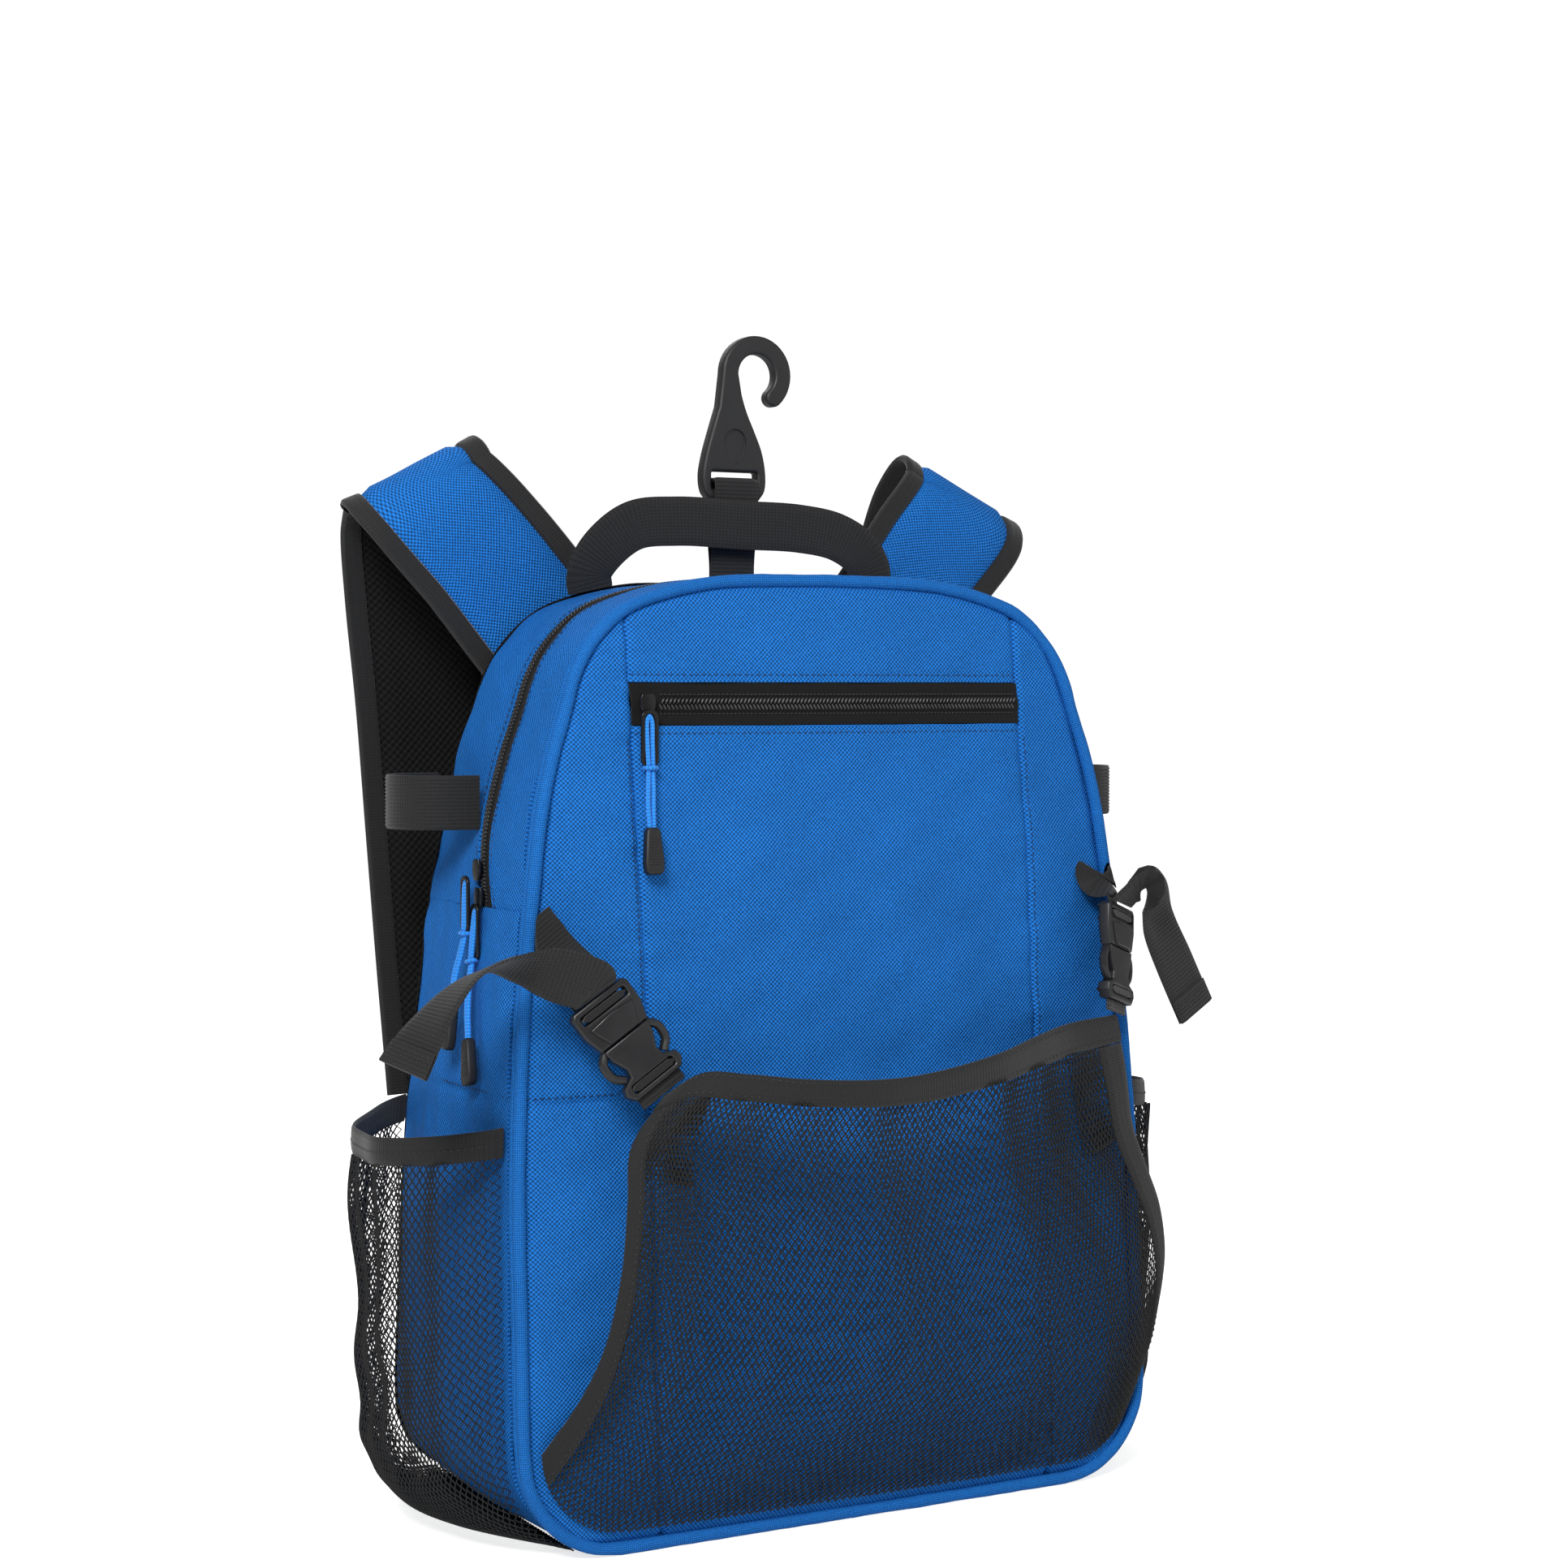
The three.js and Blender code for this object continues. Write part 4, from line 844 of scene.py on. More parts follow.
def strand_tree():
    """Edges of a mesh become round strands."""
    tree, given, out = start_tree("net_strands", [
        ("Strand radius", "NodeSocketFloat", 0.0003),
        ("Sides", "NodeSocketInt", 4),
        ("Finish", "NodeSocketMaterial", None),
    ])
    curves = add(tree, "GeometryNodeMeshToCurve", {"Mesh": given.outputs["Geometry"]})
    ring = add(tree, "GeometryNodeCurvePrimitiveCircle", {
        "Resolution": given.outputs["Sides"], "Radius": given.outputs["Strand radius"],
    })
    strands = add(tree, "GeometryNodeCurveToMesh", {
        "Curve": curves.outputs["Curve"], "Profile Curve": ring.outputs["Curve"], "Fill Caps": True,
    })
    end_tree(tree, given, out, strands.outputs["Mesh"])
    return tree


def bead_tree():
    """A small rounded bead on every point: its length lies along one attribute and its top faces another."""
    tree, given, out = start_tree("beads_on_points", [
        ("Bead size", "NodeSocketVector", (0.002, 0.0006, 0.0004)),
        ("Segments", "NodeSocketInt", 6),
        ("Finish", "NodeSocketMaterial", None),
    ])
    ball = add(tree, "GeometryNodeMeshUVSphere", {
        "Segments": given.outputs["Segments"], "Rings": 4, "Radius": 0.5,
    })
    sized = add(tree, "GeometryNodeTransform", {
        "Geometry": ball.outputs["Mesh"], "Scale": given.outputs["Bead size"],
    })
    along = add(tree, "GeometryNodeInputNamedAttribute", {"Name": "along"}, data_type="FLOAT_VECTOR")
    facing = add(tree, "GeometryNodeInputNamedAttribute", {"Name": "facing"}, data_type="FLOAT_VECTOR")
    turned = add(tree, "FunctionNodeAxesToRotation", {
        "Primary Axis": facing.outputs["Attribute"], "Secondary Axis": along.outputs["Attribute"],
    }, primary_axis="Z", secondary_axis="X")
    placed_beads = add(tree, "GeometryNodeInstanceOnPoints", {
        "Points": given.outputs["Geometry"], "Instance": sized.outputs["Geometry"],
        "Rotation": turned.outputs["Rotation"],
    })
    end_tree(tree, given, out, placed_beads.outputs["Instances"])
    return tree


def grown(name, source, tree, values, slot, ride_slot, *nodes):
    """A piece made by a node tree from a source mesh, kept as a plain mesh."""
    obj = bpy.data.objects.new(f"{name}_source", source)
    bpy.context.scene.collection.objects.link(obj)
    modifier = obj.modifiers.new("grow", "NODES")
    modifier.node_group = tree
    values = {**values, "Finish": finish(slot)}
    for item in tree.interface.items_tree:
        if item.in_out == "INPUT" and item.name in values:
            modifier[item.identifier] = values[item.name]
    mesh = bpy.data.meshes.new_from_object(obj.evaluated_get(bpy.context.evaluated_depsgraph_get()))
    obj.modifiers.remove(modifier)
    bpy.data.objects.remove(obj)
    mesh.name = name
    made = bpy.data.objects.new(name, mesh)
    bpy.context.scene.collection.objects.link(made)
    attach(made, "root")
    if nodes:
        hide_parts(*nodes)
    return made


TREES = {}


def tree_named(name, maker):
    if name not in TREES:
        TREES[name] = maker()
    return TREES[name]


def strands(name, lines, radius, slot, *nodes, sides=4):
    """Round strands along lines of points, in millimetres."""
    points = np.concatenate(lines)
    edges, start = [], 0
    for line in lines:
        edges += [(start + k, start + k + 1) for k in range(len(line) - 1)]
        start += len(line)
    mesh = bpy.data.meshes.new(name)
    mesh.from_pydata(to_frame(points).tolist(), edges, [])
    values = {"Strand radius": radius * MM, "Sides": sides}
    return grown(name, mesh, tree_named("strands", strand_tree), values, slot, slot, *nodes)


def beads(name, rows, size, slot, ride_slot, segments=6):
    """Beads at points with directions: each row holds places, along and facing, in millimetres."""
    at, along, facing = (np.concatenate([row[k] for row in rows]) for k in range(3))
    mesh = bpy.data.meshes.new(name)
    mesh.from_pydata(to_frame(at).tolist(), [], [])
    for label, values in (("along", along), ("facing", facing)):
        layer = mesh.attributes.new(label, "FLOAT_VECTOR", "POINT")
        layer.data.foreach_set("vector", np.asarray(values, dtype=np.float32).ravel())
    values = {"Bead size": tuple(s * MM for s in size), "Segments": segments}
    return grown(name, mesh, tree_named("beads", bead_tree), values, slot, ride_slot)


STITCH_ROWS = {"blue_thread": [], "black_thread": []}


def stitch_row(thread, line, facing, pitch=None):
    """Keeps a row of stitches along a line of points, for the stitches' own piece."""
    line = np.asarray(line, dtype=float)
    at, along = evenly(line, pitch or sizes().stitch_pitch / MM)
    facing = np.broadcast_to(np.asarray(facing, dtype=float), line.shape)
    source = travelled(line)
    places = np.linspace(0, source[-1], len(at))
    top = unit(np.stack([np.interp(places, source, facing[:, k]) for k in range(3)], axis=1))
    STITCH_ROWS[thread].append((at, along, top))


# Camera, floor and light
def build_stage():
    camera_data = bpy.data.cameras.new("camera")
    camera_data.lens = LENS
    camera_data.sensor_width = SENSOR
    camera_data.clip_end = 20.0
    camera = bpy.data.objects.new("camera", camera_data)
    bpy.context.scene.collection.objects.link(camera)
    turn = Matrix((CAMERA_RIGHT, CAMERA_UP, [-c for c in CAMERA_AHEAD])).transposed().to_4x4()
    camera.matrix_world = Matrix.Translation(Vector(to_frame(CAMERA_AT))) @ turn
    bpy.context.scene.camera = camera

    bpy.context.scene.view_settings.view_transform = "Standard"
    world = bpy.data.worlds.new("studio")
    world.use_nodes = True
    sky = world.node_tree
    seen = add(sky, "ShaderNodeLightPath").outputs["Is Camera Ray"]
    glow = add(sky, "ShaderNodeMapRange", {"Value": seen, "To Min": 0.3, "To Max": 1.05})
    backdrop = sky.nodes["Background"]
    backdrop.inputs["Color"].default_value = linear("#FFFFFF")
    sky.links.new(glow.outputs["Result"], backdrop.inputs["Strength"])
    bpy.context.scene.world = world

    half = 9.0
    floor_mesh = bpy.data.meshes.new("studio_floor")
    corners = [(-half, -half, 0.0), (half, -half, 0.0), (half, half, 0.0), (-half, half, 0.0)]
    floor_mesh.from_pydata(corners, [], [(0, 1, 2, 3)])
    paper, tree, shader = start_material("studio_paper", **{"Roughness": 0.9})
    coords = add(tree, "ShaderNodeTexCoord").outputs["Object"]
    mottle = add(tree, "ShaderNodeTexNoise", {"Vector": coords, "Scale": 3.0}).outputs["Fac"]
    colour = ramp_between(tree, mottle, [(0.2, linear("#F4F4F3")), (0.8, linear("#F8F8F7"))])
    tree.links.new(colour, shader.inputs["Base Color"])
    tree.links.new(colour, shader.inputs["Emission Color"])
    seen = add(tree, "ShaderNodeLightPath").outputs["Is Camera Ray"]
    lit = add(tree, "ShaderNodeMapRange", {"Value": seen, "To Min": 0.0, "To Max": 0.8})
    tree.links.new(lit.outputs["Result"], shader.inputs["Emission Strength"])
    floor_mesh.materials.append(paper)
    floor = bpy.data.objects.new("studio_floor", floor_mesh)
    bpy.context.scene.collection.objects.link(floor)
    floor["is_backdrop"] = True

    aim = Vector(to_frame((0, 60, 240)))
    lamps = [
        ("key_light", (-1150, -1250, 1500), 0.7, 36.0),
        ("fill_light", (1300, -1200, 900), 1.6, 5.0),
        ("back_light", (300, 1500, 1500), 1.4, 14.0),
    ]
    for name, at, size, watts in lamps:
        data = bpy.data.lights.new(name, "AREA")
        data.size = size
        data.energy = watts
        lamp = bpy.data.objects.new(name, data)
        lamp.location = Vector(to_frame(at))
        lamp.rotation_euler = (aim - lamp.location).to_track_quat("-Z", "Y").to_euler()
        bpy.context.scene.collection.objects.link(lamp)


# Front panels
def front_relief(x, z):
    """How far the front cloth stands out from its smooth form: seam grooves, puckers and soft waves."""
    relief = np.zeros(np.broadcast(x, z).shape)
    for seam, seed in ((seam_left, 3), (seam_right, 5)):
        off = np.abs(x - seam(z))
        relief -= bell(off, 2.0, 1.5)
        relief += 0.4 * waves(z, 0 * z, seed, 13) * np.exp(-off / 9)
    outside = (x < seam_left(z)) | (x > seam_right(z))
    off = np.abs(z - CROSS_SEAM_HEIGHT)
    relief -= outside * bell(off, 1.7, 1.3)
    relief += outside * 0.35 * waves(x, 0 * x, 8, 11) * np.exp(-off / 9)
    for edge in (-1, 1):
        stitch = POCKET_ZIP_HEIGHT + edge * (POCKET_ZIP_WIDTH / 2 + TOPSTITCH)
        relief -= ~outside * bell(z - stitch, 0.35, 0.9)
    half = rim(way_at_height(np.clip(z, 1, BAG_HEIGHT - 1)))[0]
    over = rim(way_at_half_width(np.minimum(np.abs(x), BAG_HALF_WIDTH - 1)))[1]
    arch = np.where(z > BAG_HEIGHT * 0.8, over, 1e4)
    edge = np.maximum(np.minimum(half - np.abs(x), np.minimum(arch - z, z)) - 2 * PIPING_RADIUS, 0)
    relief -= bell(edge, 2.0, 2.4)
    fade = np.clip((z - 10) / 50, 0, 1) * np.clip((BAG_HEIGHT - z) / 40, 0, 1)
    relief += sizes().wrinkle_depth / MM * fade * (0.6 * waves(x, z, 11, 95) + 0.35 * waves(x, z, 12, 38))
    return relief


def front_grid(x, z):
    relief = front_relief(x, z)
    points = front_face(x, z, relief - CLOTH / 2)
    uv = stack(x, z, 0.0)[..., :2]
    return points, uv


def front_patch(name, slot, low, high, rows, columns, node):
    u, v = np.meshgrid(np.linspace(0, 1, columns + 1), np.linspace(0, 1, rows + 1), indexing="ij")
    guess = lerp(seam_left(BAG_HEIGHT), seam_right(BAG_HEIGHT), u)
    z = lerp(low(guess), high(guess), v)
    x = lerp(seam_left(z) + SEAM_GAP, seam_right(z) - SEAM_GAP, u)
    points, uv = front_grid(x, z)
    return piece(name, shell(points, CLOTH, uv), slot, node)


def front_stitches(line_x, line_z):
    """Keeps a row of stitches that lies on the front cloth."""
    row = front_face(line_x, line_z, front_relief(line_x, line_z) + STITCH_PROUD)
    stitch_row("blue_thread", row, TO_FRONT)


def build_front():
    zip_top = POCKET_ZIP_HEIGHT + POCKET_ZIP_WIDTH / 2
    zip_low = POCKET_ZIP_HEIGHT - POCKET_ZIP_WIDTH / 2
    arch = lambda x: rim(way_at_half_width(x, PANEL_INSET), PANEL_INSET)[1]
    same = lambda value: (lambda x: np.full(x.shape, value))
    front_patch("front_top_cloth", "blue_cloth", same(zip_top + SEAM_GAP), arch, 26, 120, "front_top_panel")
    front_patch("front_pocket_cloth", "blue_cloth", same(PANEL_INSET), same(zip_low - SEAM_GAP), 190, 120,
                "front_pocket_panel")
    for side, seam, word in ((-1, seam_left, "left"), (1, seam_right, "right")):
        tip = float(way_at_half_width(abs(seam(BAG_HEIGHT - 60)) + 0.4, PANEL_INSET))
        share, v = np.meshgrid(np.linspace(0, 1, 221), np.linspace(0, 1, 31), indexing="ij")
        edge_x, z = rim(side * lerp(CORNER_SHARE, tip, share), PANEL_INSET)
        x = lerp(edge_x, seam(z) + side * SEAM_GAP, v)
        points, uv = front_grid(x, z)
        piece(f"front_side_cloth_{word}", shell(points, CLOTH, uv), "blue_cloth", f"front_side_{word}")
        line_x = np.linspace(side * 168, seam(CROSS_SEAM_HEIGHT) + side * 2, 30)
        line_z = np.full(30, CROSS_SEAM_HEIGHT + SEAM_STITCH)
        front_stitches(line_x, line_z)
        line_z = np.linspace(12, zip_low - 8, 200)
        line_x = seam(line_z) + side * 2.6
        front_stitches(line_x, line_z)
    for edge in (zip_low - TOPSTITCH, zip_top + TOPSTITCH):
        line_x = np.linspace(seam_left(edge) + 2, seam_right(edge) - 2, 120)
        line_z = np.full(120, edge)
        front_stitches(line_x, line_z)


def build_piping():
    turn = np.linspace(-0.001, 1.999, 420) + 0.0008
    way = np.where(turn < 1, turn, turn - 2)
    roll_behind = PIPING_RADIUS + SEAM_GAP + EDGE_ROLL_RADIUS
    for name, radius, behind, node in (
        ("front_piping_cloth", PIPING_RADIUS, 0.0, "front_piping"),
        ("gusset_edge_roll_cloth", EDGE_ROLL_RADIUS, roll_behind, "gusset_edge_roll"),
    ):
        x, z = rim(way, PIPING_RADIUS + SEAM_GAP / 2)
        path = stack(x, front_plane(z) + behind, z)
        along = travelled(path)
        swell = 1 + 0.035 * waves(along, 0 * along, 21 + int(radius * 2), 16)
        piece(name, tube(path, radius * swell, sides=18), "blue_cloth", node, materials=["bias_cloth"])


def gusset_grid(way, behind, sink=0.0, seed=31):
    """The gusset's cloth: middle points of its wall and their uv."""
    z = rim(way, GUSSET_INSET)[1]
    broad = 0.8 * waves(z, behind, seed + 1, 80) * sizes().wrinkle_depth / MM
    ripple = 0.35 * waves(z, behind, seed, 24) + broad
    ripple = ripple * np.clip(z / 60, 0, 1)
    ripple = ripple - bell(z - CROSS_SEAM_HEIGHT, 0.8, 1.6) * (z < MAIN_ZIP_END)
    points = gusset_point(way, behind, sink + CLOTH / 2 - np.clip(ripple, -2, 2))
    along = np.abs(np.where(way < 0, 2 + way, way)) * OUTLINE_ALONG[-1]
    return points, stack(along, behind, 0.0)[..., :2]


def build_gusset():
    half = MAIN_ZIP_WIDTH / 2 + SEAM_GAP
    strips = (
        ("gusset_front_cloth", lambda way: np.full(way.shape, GUSSET_FRONT),
         lambda way: zip_behind(way) - half, "gusset_front"),
        ("gusset_back_cloth", lambda way: zip_behind(way) + half, gusset_back_edge, "gusset_back"),
    )
    for name, start, end, node in strips:
        share, v = np.meshgrid(np.linspace(0, 1, 341), np.linspace(0, 1, 15), indexing="ij")
        way = over_top(share)
        points, uv = gusset_grid(way, lerp(start(way), end(way), v))
        piece(name, shell(points, CLOTH, uv), "blue_cloth", node)
    line = over_top(np.linspace(0.002, 0.998, 500))
    for side in (-1, 1):
        behind = zip_behind(line) + side * (half + SEAM_STITCH)
        row = gusset_point(line, behind, -0.15)
        facing = row - gusset_point(line, behind, 4.0)
        stitch_row("blue_thread", row, facing)
    for side, word in ((-1, "left"), (1, "right")):
        share, v = np.meshgrid(np.linspace(0, 1, 181), np.linspace(0, 1, 61), indexing="ij")
        way = side * lerp(ZIP_END_WAY, CORNER_SHARE, share)
        points, uv = gusset_grid(way, lerp(GUSSET_FRONT, gusset_back_edge(way), v), seed=41 + side)
        piece(f"gusset_side_cloth_{word}", shell(points, CLOTH, uv), "blue_cloth", f"gusset_side_{word}")
        level_way = np.full(60, side * float(way_at_height(CROSS_SEAM_HEIGHT + SEAM_STITCH, GUSSET_INSET)))
        behind = np.linspace(GUSSET_FRONT + 2, depth_at(CROSS_SEAM_HEIGHT) - 3, 60)
        row = gusset_point(level_way, behind, 0.2)
        stitch_row("blue_thread", row, (side, 0, 0))
    reach = BAG_HALF_WIDTH - CORNER_RADIUS - SEAM_GAP
    u, v = np.meshgrid(np.linspace(-reach, reach, 60), np.linspace(0, 1, 40), indexing="ij")
    y = lerp(front_plane(0) + GUSSET_FRONT, back_plane(0) - SEAM_GAP, v)
    points = stack(u, y, BASE_THICKNESS / 2)
    piece("base_cloth", shell(points, BASE_THICKNESS, stack(u, y, 0.0)[..., :2]), "blue_cloth", "base_panel")


def build_back():
    inset = 1.0
    last = float(way_at_half_width(BAG_HALF_WIDTH * 0.3, inset))
    share, v = np.meshgrid(np.linspace(0, 1, 151), np.linspace(0, 1, 111), indexing="ij")
    edge_x, z = rim(lerp(CORNER_SHARE, last, share), inset)
    x = lerp(-edge_x, edge_x, v)
    side = np.minimum(v, 1 - v) * 2
    ends = np.minimum(share, 1 - share) * 2
    crown = (1 - (1 - side) ** 6) * (1 - (1 - ends) ** 8)
    quilt = bell(np.abs(x) - QUILT_ACROSS, QUILT_DEPTH, QUILT_WIDTH) * (z < QUILT_TOP)
    quilt = quilt + bell(z - QUILT_HEIGHT, QUILT_DEPTH, QUILT_WIDTH)
    edge_drop = (1 - crown) * (BACK_THICKNESS + BACK_CROWN - 2)
    outer = back_face(x, z, 0.5 * waves(x, z, 51, 60) - quilt - edge_drop)
    middle = outer.copy()
    inner_y = back_plane(z) + 0.2
    middle[..., 1] = (outer[..., 1] + inner_y) / 2
    thickness = np.maximum(outer[..., 1] - inner_y, 0.8)
    shape = shell(middle, thickness, stack(x, z, 0.0)[..., :2])
    pad = piece("back_padding_cloth", shape, "back_padding", "back_panel")


# Zips: tape, coil and stitches beside the coil
def zip_coil(line, across, facing, pitch, reach, rise):
    """Two rows of slanted coil turns that meet over the zip's middle line."""
    at, along = evenly(line, pitch)
    source = travelled(line)
    places = np.linspace(0, source[-1], len(at))
    spread = lambda table: unit(np.stack([np.interp(places, source, table[:, k]) for k in range(3)], axis=1))
    side, top = spread(across), spread(facing)
    rows = []
    for hand in (-1, 1):
        slant = unit(side * hand + along * 0.55)
        centre = at + side * hand * reach + top * rise + along * (pitch / 4) * hand
        rows.append((centre, slant, top))
    return rows


def build_zips():
    zip_top = POCKET_ZIP_HEIGHT + POCKET_ZIP_WIDTH / 2
    zip_low = POCKET_ZIP_HEIGHT - POCKET_ZIP_WIDTH / 2
    u, v = np.meshgrid(np.linspace(0, 1, 121), np.linspace(0, 1, 13), indexing="ij")
    z = lerp(zip_low, zip_top, v)
    x = lerp(seam_left(z) + SEAM_GAP, seam_right(z) - SEAM_GAP, u)
    rise = bell(z - POCKET_ZIP_HEIGHT, 1.2, 3.2)
    points = front_face(x, z, rise - 1.2)
    shape = shell(points, 1.0, stack(x, z, 0.0)[..., :2])
    piece("pocket_zip_tape_cloth", shape, "zip_tape", "pocket_zip_tape")
    line_x = np.linspace(seam_left(POCKET_ZIP_HEIGHT) + 15, seam_right(POCKET_ZIP_HEIGHT) - 4, 160)
    line_z = np.full(160, POCKET_ZIP_HEIGHT)
    line = front_face(line_x, line_z, 0.8)
    rows = zip_coil(line, np.broadcast_to((0.0, 0.0, 1.0), line.shape),
                    np.broadcast_to((0.0, -1.0, 0.0), line.shape), 2.0, 1.5, 0.3)
    beads("pocket_zip_coil", rows, (3.6, 1.15, 1.1), "zip_coil", "zip_tape", segments=8)
    for off in (-4.6, 4.6):
        stitch_row("black_thread", line + (0, 0.5, off), (0, -1, 0), pitch=2.1)

    share, v = np.meshgrid(np.linspace(0, 1, 341), np.linspace(0, 1, 9), indexing="ij")
    way = over_top(share)
    across = lerp(-MAIN_ZIP_WIDTH / 2, MAIN_ZIP_WIDTH / 2, v)
    rise = bell(across, 0.9, 2.8)
    points = gusset_point(way, zip_behind(way) + across, 1.2 - rise)
    uv = stack(share * 700, across, 0.0)[..., :2]
    piece("main_zip_tape_cloth", shell(points, 1.0, uv), "zip_tape", "main_zip_tape")
    way = over_top(np.linspace(0.012, 0.995, 700))
    line = gusset_point(way, zip_behind(way), -0.2)
    facing = line - gusset_point(way, zip_behind(way), 4.0)
    side = gusset_point(way, zip_behind(way) + 1, -0.2) - line
    rows = zip_coil(line, unit(side), unit(facing), 1.9, 1.4, 0.2)
    beads("main_zip_coil", rows, (3.4, 1.1, 1.1), "zip_coil", "zip_tape", segments=6)


# Zip pulls. Routes run from the ring's lower end to the tip
PULL_ROUTES = {
    "pocket_zip": [(-102, -13.2, 363.8), (-103, -15.5, 355), (-104, -17.5, 346), (-104, -18.5, 337)],
    "main_zip_upper": [(-172.6, 42, 285.3), (-174.5, 43, 276), (-177, 44, 265), (-178.5, 44, 253)],
    "main_zip_lower": [(-171.8, 36, 272.5), (-174, 34, 262), (-176, 31, 250), (-177, 28, 238)],
}


def pull_heads():
    pocket = front_face(seam_left(POCKET_ZIP_HEIGHT) + 7, POCKET_ZIP_HEIGHT, -0.6)
    lower_way = -ZIP_END_WAY - 0.006
    upper_way = lower_way - 0.018
    return (
        ("pocket_zip", pocket, TO_FRONT, 0.0),
        ("main_zip_upper", gusset_point(upper_way, zip_behind(upper_way)), TO_LEFT, TAB + SEAM_GAP + 2.2),
        ("main_zip_lower", gusset_point(lower_way, zip_behind(lower_way)), TO_LEFT, 0.0),
    )


def cord_tip_shape():
    half, top = TIP_LENGTH / 2, TIP_WIDTH * 0.36
    low = TIP_WIDTH / 2
    outline = [(-top, -half + 1.5), (-top + 1.5, -half), (top - 1.5, -half), (top, -half + 1.5),
               (low, half * 0.5), (low - 0.4, half - 1.5), (low - 2, half), (2 - low, half),
               (0.4 - low, half - 1.5), (-low, half * 0.5)]
    body = plate(outline, TIP_THICKNESS, 1.3, bevel_steps=3)
    ribs = [moved(plate(rounded_rectangle(TIP_WIDTH * 0.62, 1.3, 0.6), TIP_THICKNESS + 0.5, 0.25),
                  (0, half * 0.05 + 2.6 * k, 0)) for k in range(-2, 3)]
    return joined([body, *ribs])


def build_pull_cords():
    for name, head, outward_way, stack_height in pull_heads():
        route = np.array(PULL_ROUTES[name], dtype=float)
        along = unit(route[-1] - route[-2])
        side = np.cross(outward_way, along)
        tip_centre = route[-1] + along * (TIP_LENGTH / 2 + SEAM_GAP)
        tip = piece(f"{name}_moulded_tip", placed(cord_tip_shape(), tip_centre, along, side),
                    "cord_tip_plastic", f"{name}_cord_tip")
        gap = CORD_DIAMETER * 0.52
        run = spline(route, np.linspace(0, 1, 24))
        lanes = unit(np.cross(outward_way, np.gradient(run, axis=0)))
        bow = 0.35 * np.sin(np.linspace(0, math.pi, 24))[:, None]
        down = run + lanes * (gap + bow)
        back = (run - lanes * (gap + bow))[::-1]
        turn_centre = route[-1] + along * 1.2
        angles = np.linspace(0, math.pi, 9)[1:-1]
        turn = turn_centre + gap * (np.cos(angles)[:, None] * lanes[-1] + np.sin(angles)[:, None] * along)
        path = np.concatenate([down, turn, back])
        length = float(travelled(path)[-1])
        knot_ring = route[0] - along * 0.6
        wrap_angles = np.linspace(0, 2 * math.pi, 25)[:-1]
        wrap = np.array([knot_ring + side * 3.0 * math.cos(a) + outward_way * 2.3 * math.sin(a)
                         for a in wrap_angles])
        wrap = np.concatenate([wrap, wrap[:1]])
        top = head + outward_way * (SLIDER_LIFT + SLIDER + 0.9 + stack_height) - (0, 0, SLIDER_LENGTH / 4 + 3)
        low = knot_ring + outward_way * 0.4
        span = CORD_DIAMETER * 0.55
        loop = [low - side * span, lerp(low, top, 0.5) - side * span * 1.3,
                lerp(low, top, 0.92) - side * span, top, lerp(low, top, 0.92) + side * span,
                lerp(low, top, 0.5) + side * span * 1.1, low + side * span]
        strand = tube(spline(loop, np.linspace(0, 1, 40)), CORD_DIAMETER / 2, sides=12)
        wound = joined([tube(wrap, CORD_DIAMETER * 0.46, sides=10), strand])
        knot = piece(f"{name}_cord_knot", wound, "pull_cord")
        cord = piece(f"{name}_doubled_cord", tube(path, CORD_DIAMETER / 2, sides=12), "pull_cord",
                     f"{name}_cord")
        tuple(to_frame(path[0]))
        [tuple(point) for point in to_frame(path)]


def build_zip_pulls():
    for name, head, outward_way, stack_height in pull_heads():
        down = np.array((0.0, 0.0, -1.0))
        side = np.cross(outward_way, down)
        seat = head + outward_way * (SLIDER / 2 + SLIDER_LIFT)
        half_w, half_l = SLIDER_WIDTH / 2, SLIDER_LENGTH / 2
        right = [(half_w * 0.75, -half_l), (half_w, -half_l * 0.5), (half_w, half_l * 0.2),
                 (half_w * 0.6, half_l)]
        body = [(-right[0][0], right[0][1]), *right, *((-x, y) for x, y in right[:0:-1])]
        lower = moved(plate(body, SLIDER * 0.5, 0.5), (0, 0, -SLIDER * 0.25))
        bridge = plate(rounded_rectangle(2.6, SLIDER_LENGTH * 0.8, 1.2), SLIDER * 0.6, 0.6)
        shape = joined([lower, moved(bridge, (0, 0, SLIDER * 0.2))])
        piece(f"{name}_slider_body", placed(shape, seat, down, side), "zip_metal", f"{name}_slider")
        lift = SLIDER_LIFT + SLIDER + SEAM_GAP + TAB / 2 + stack_height
        centre = head + outward_way * lift + down * (TAB_LENGTH / 2 + SLIDER_LENGTH / 4)
        wire = 2.0
        ring = rounded_rectangle(TAB_WIDTH, TAB_LENGTH, TAB_WIDTH / 2 - 0.6, steps=8)
        hole = rounded_rectangle(TAB_WIDTH - 2 * wire, TAB_LENGTH - 2 * wire, TAB_WIDTH / 2 - wire - 0.3,
                                 steps=8)
        piece(f"{name}_ring", placed(plate(ring, TAB, 0.5, [hole]), centre, down, side), "zip_metal",
              f"{name}_tab")


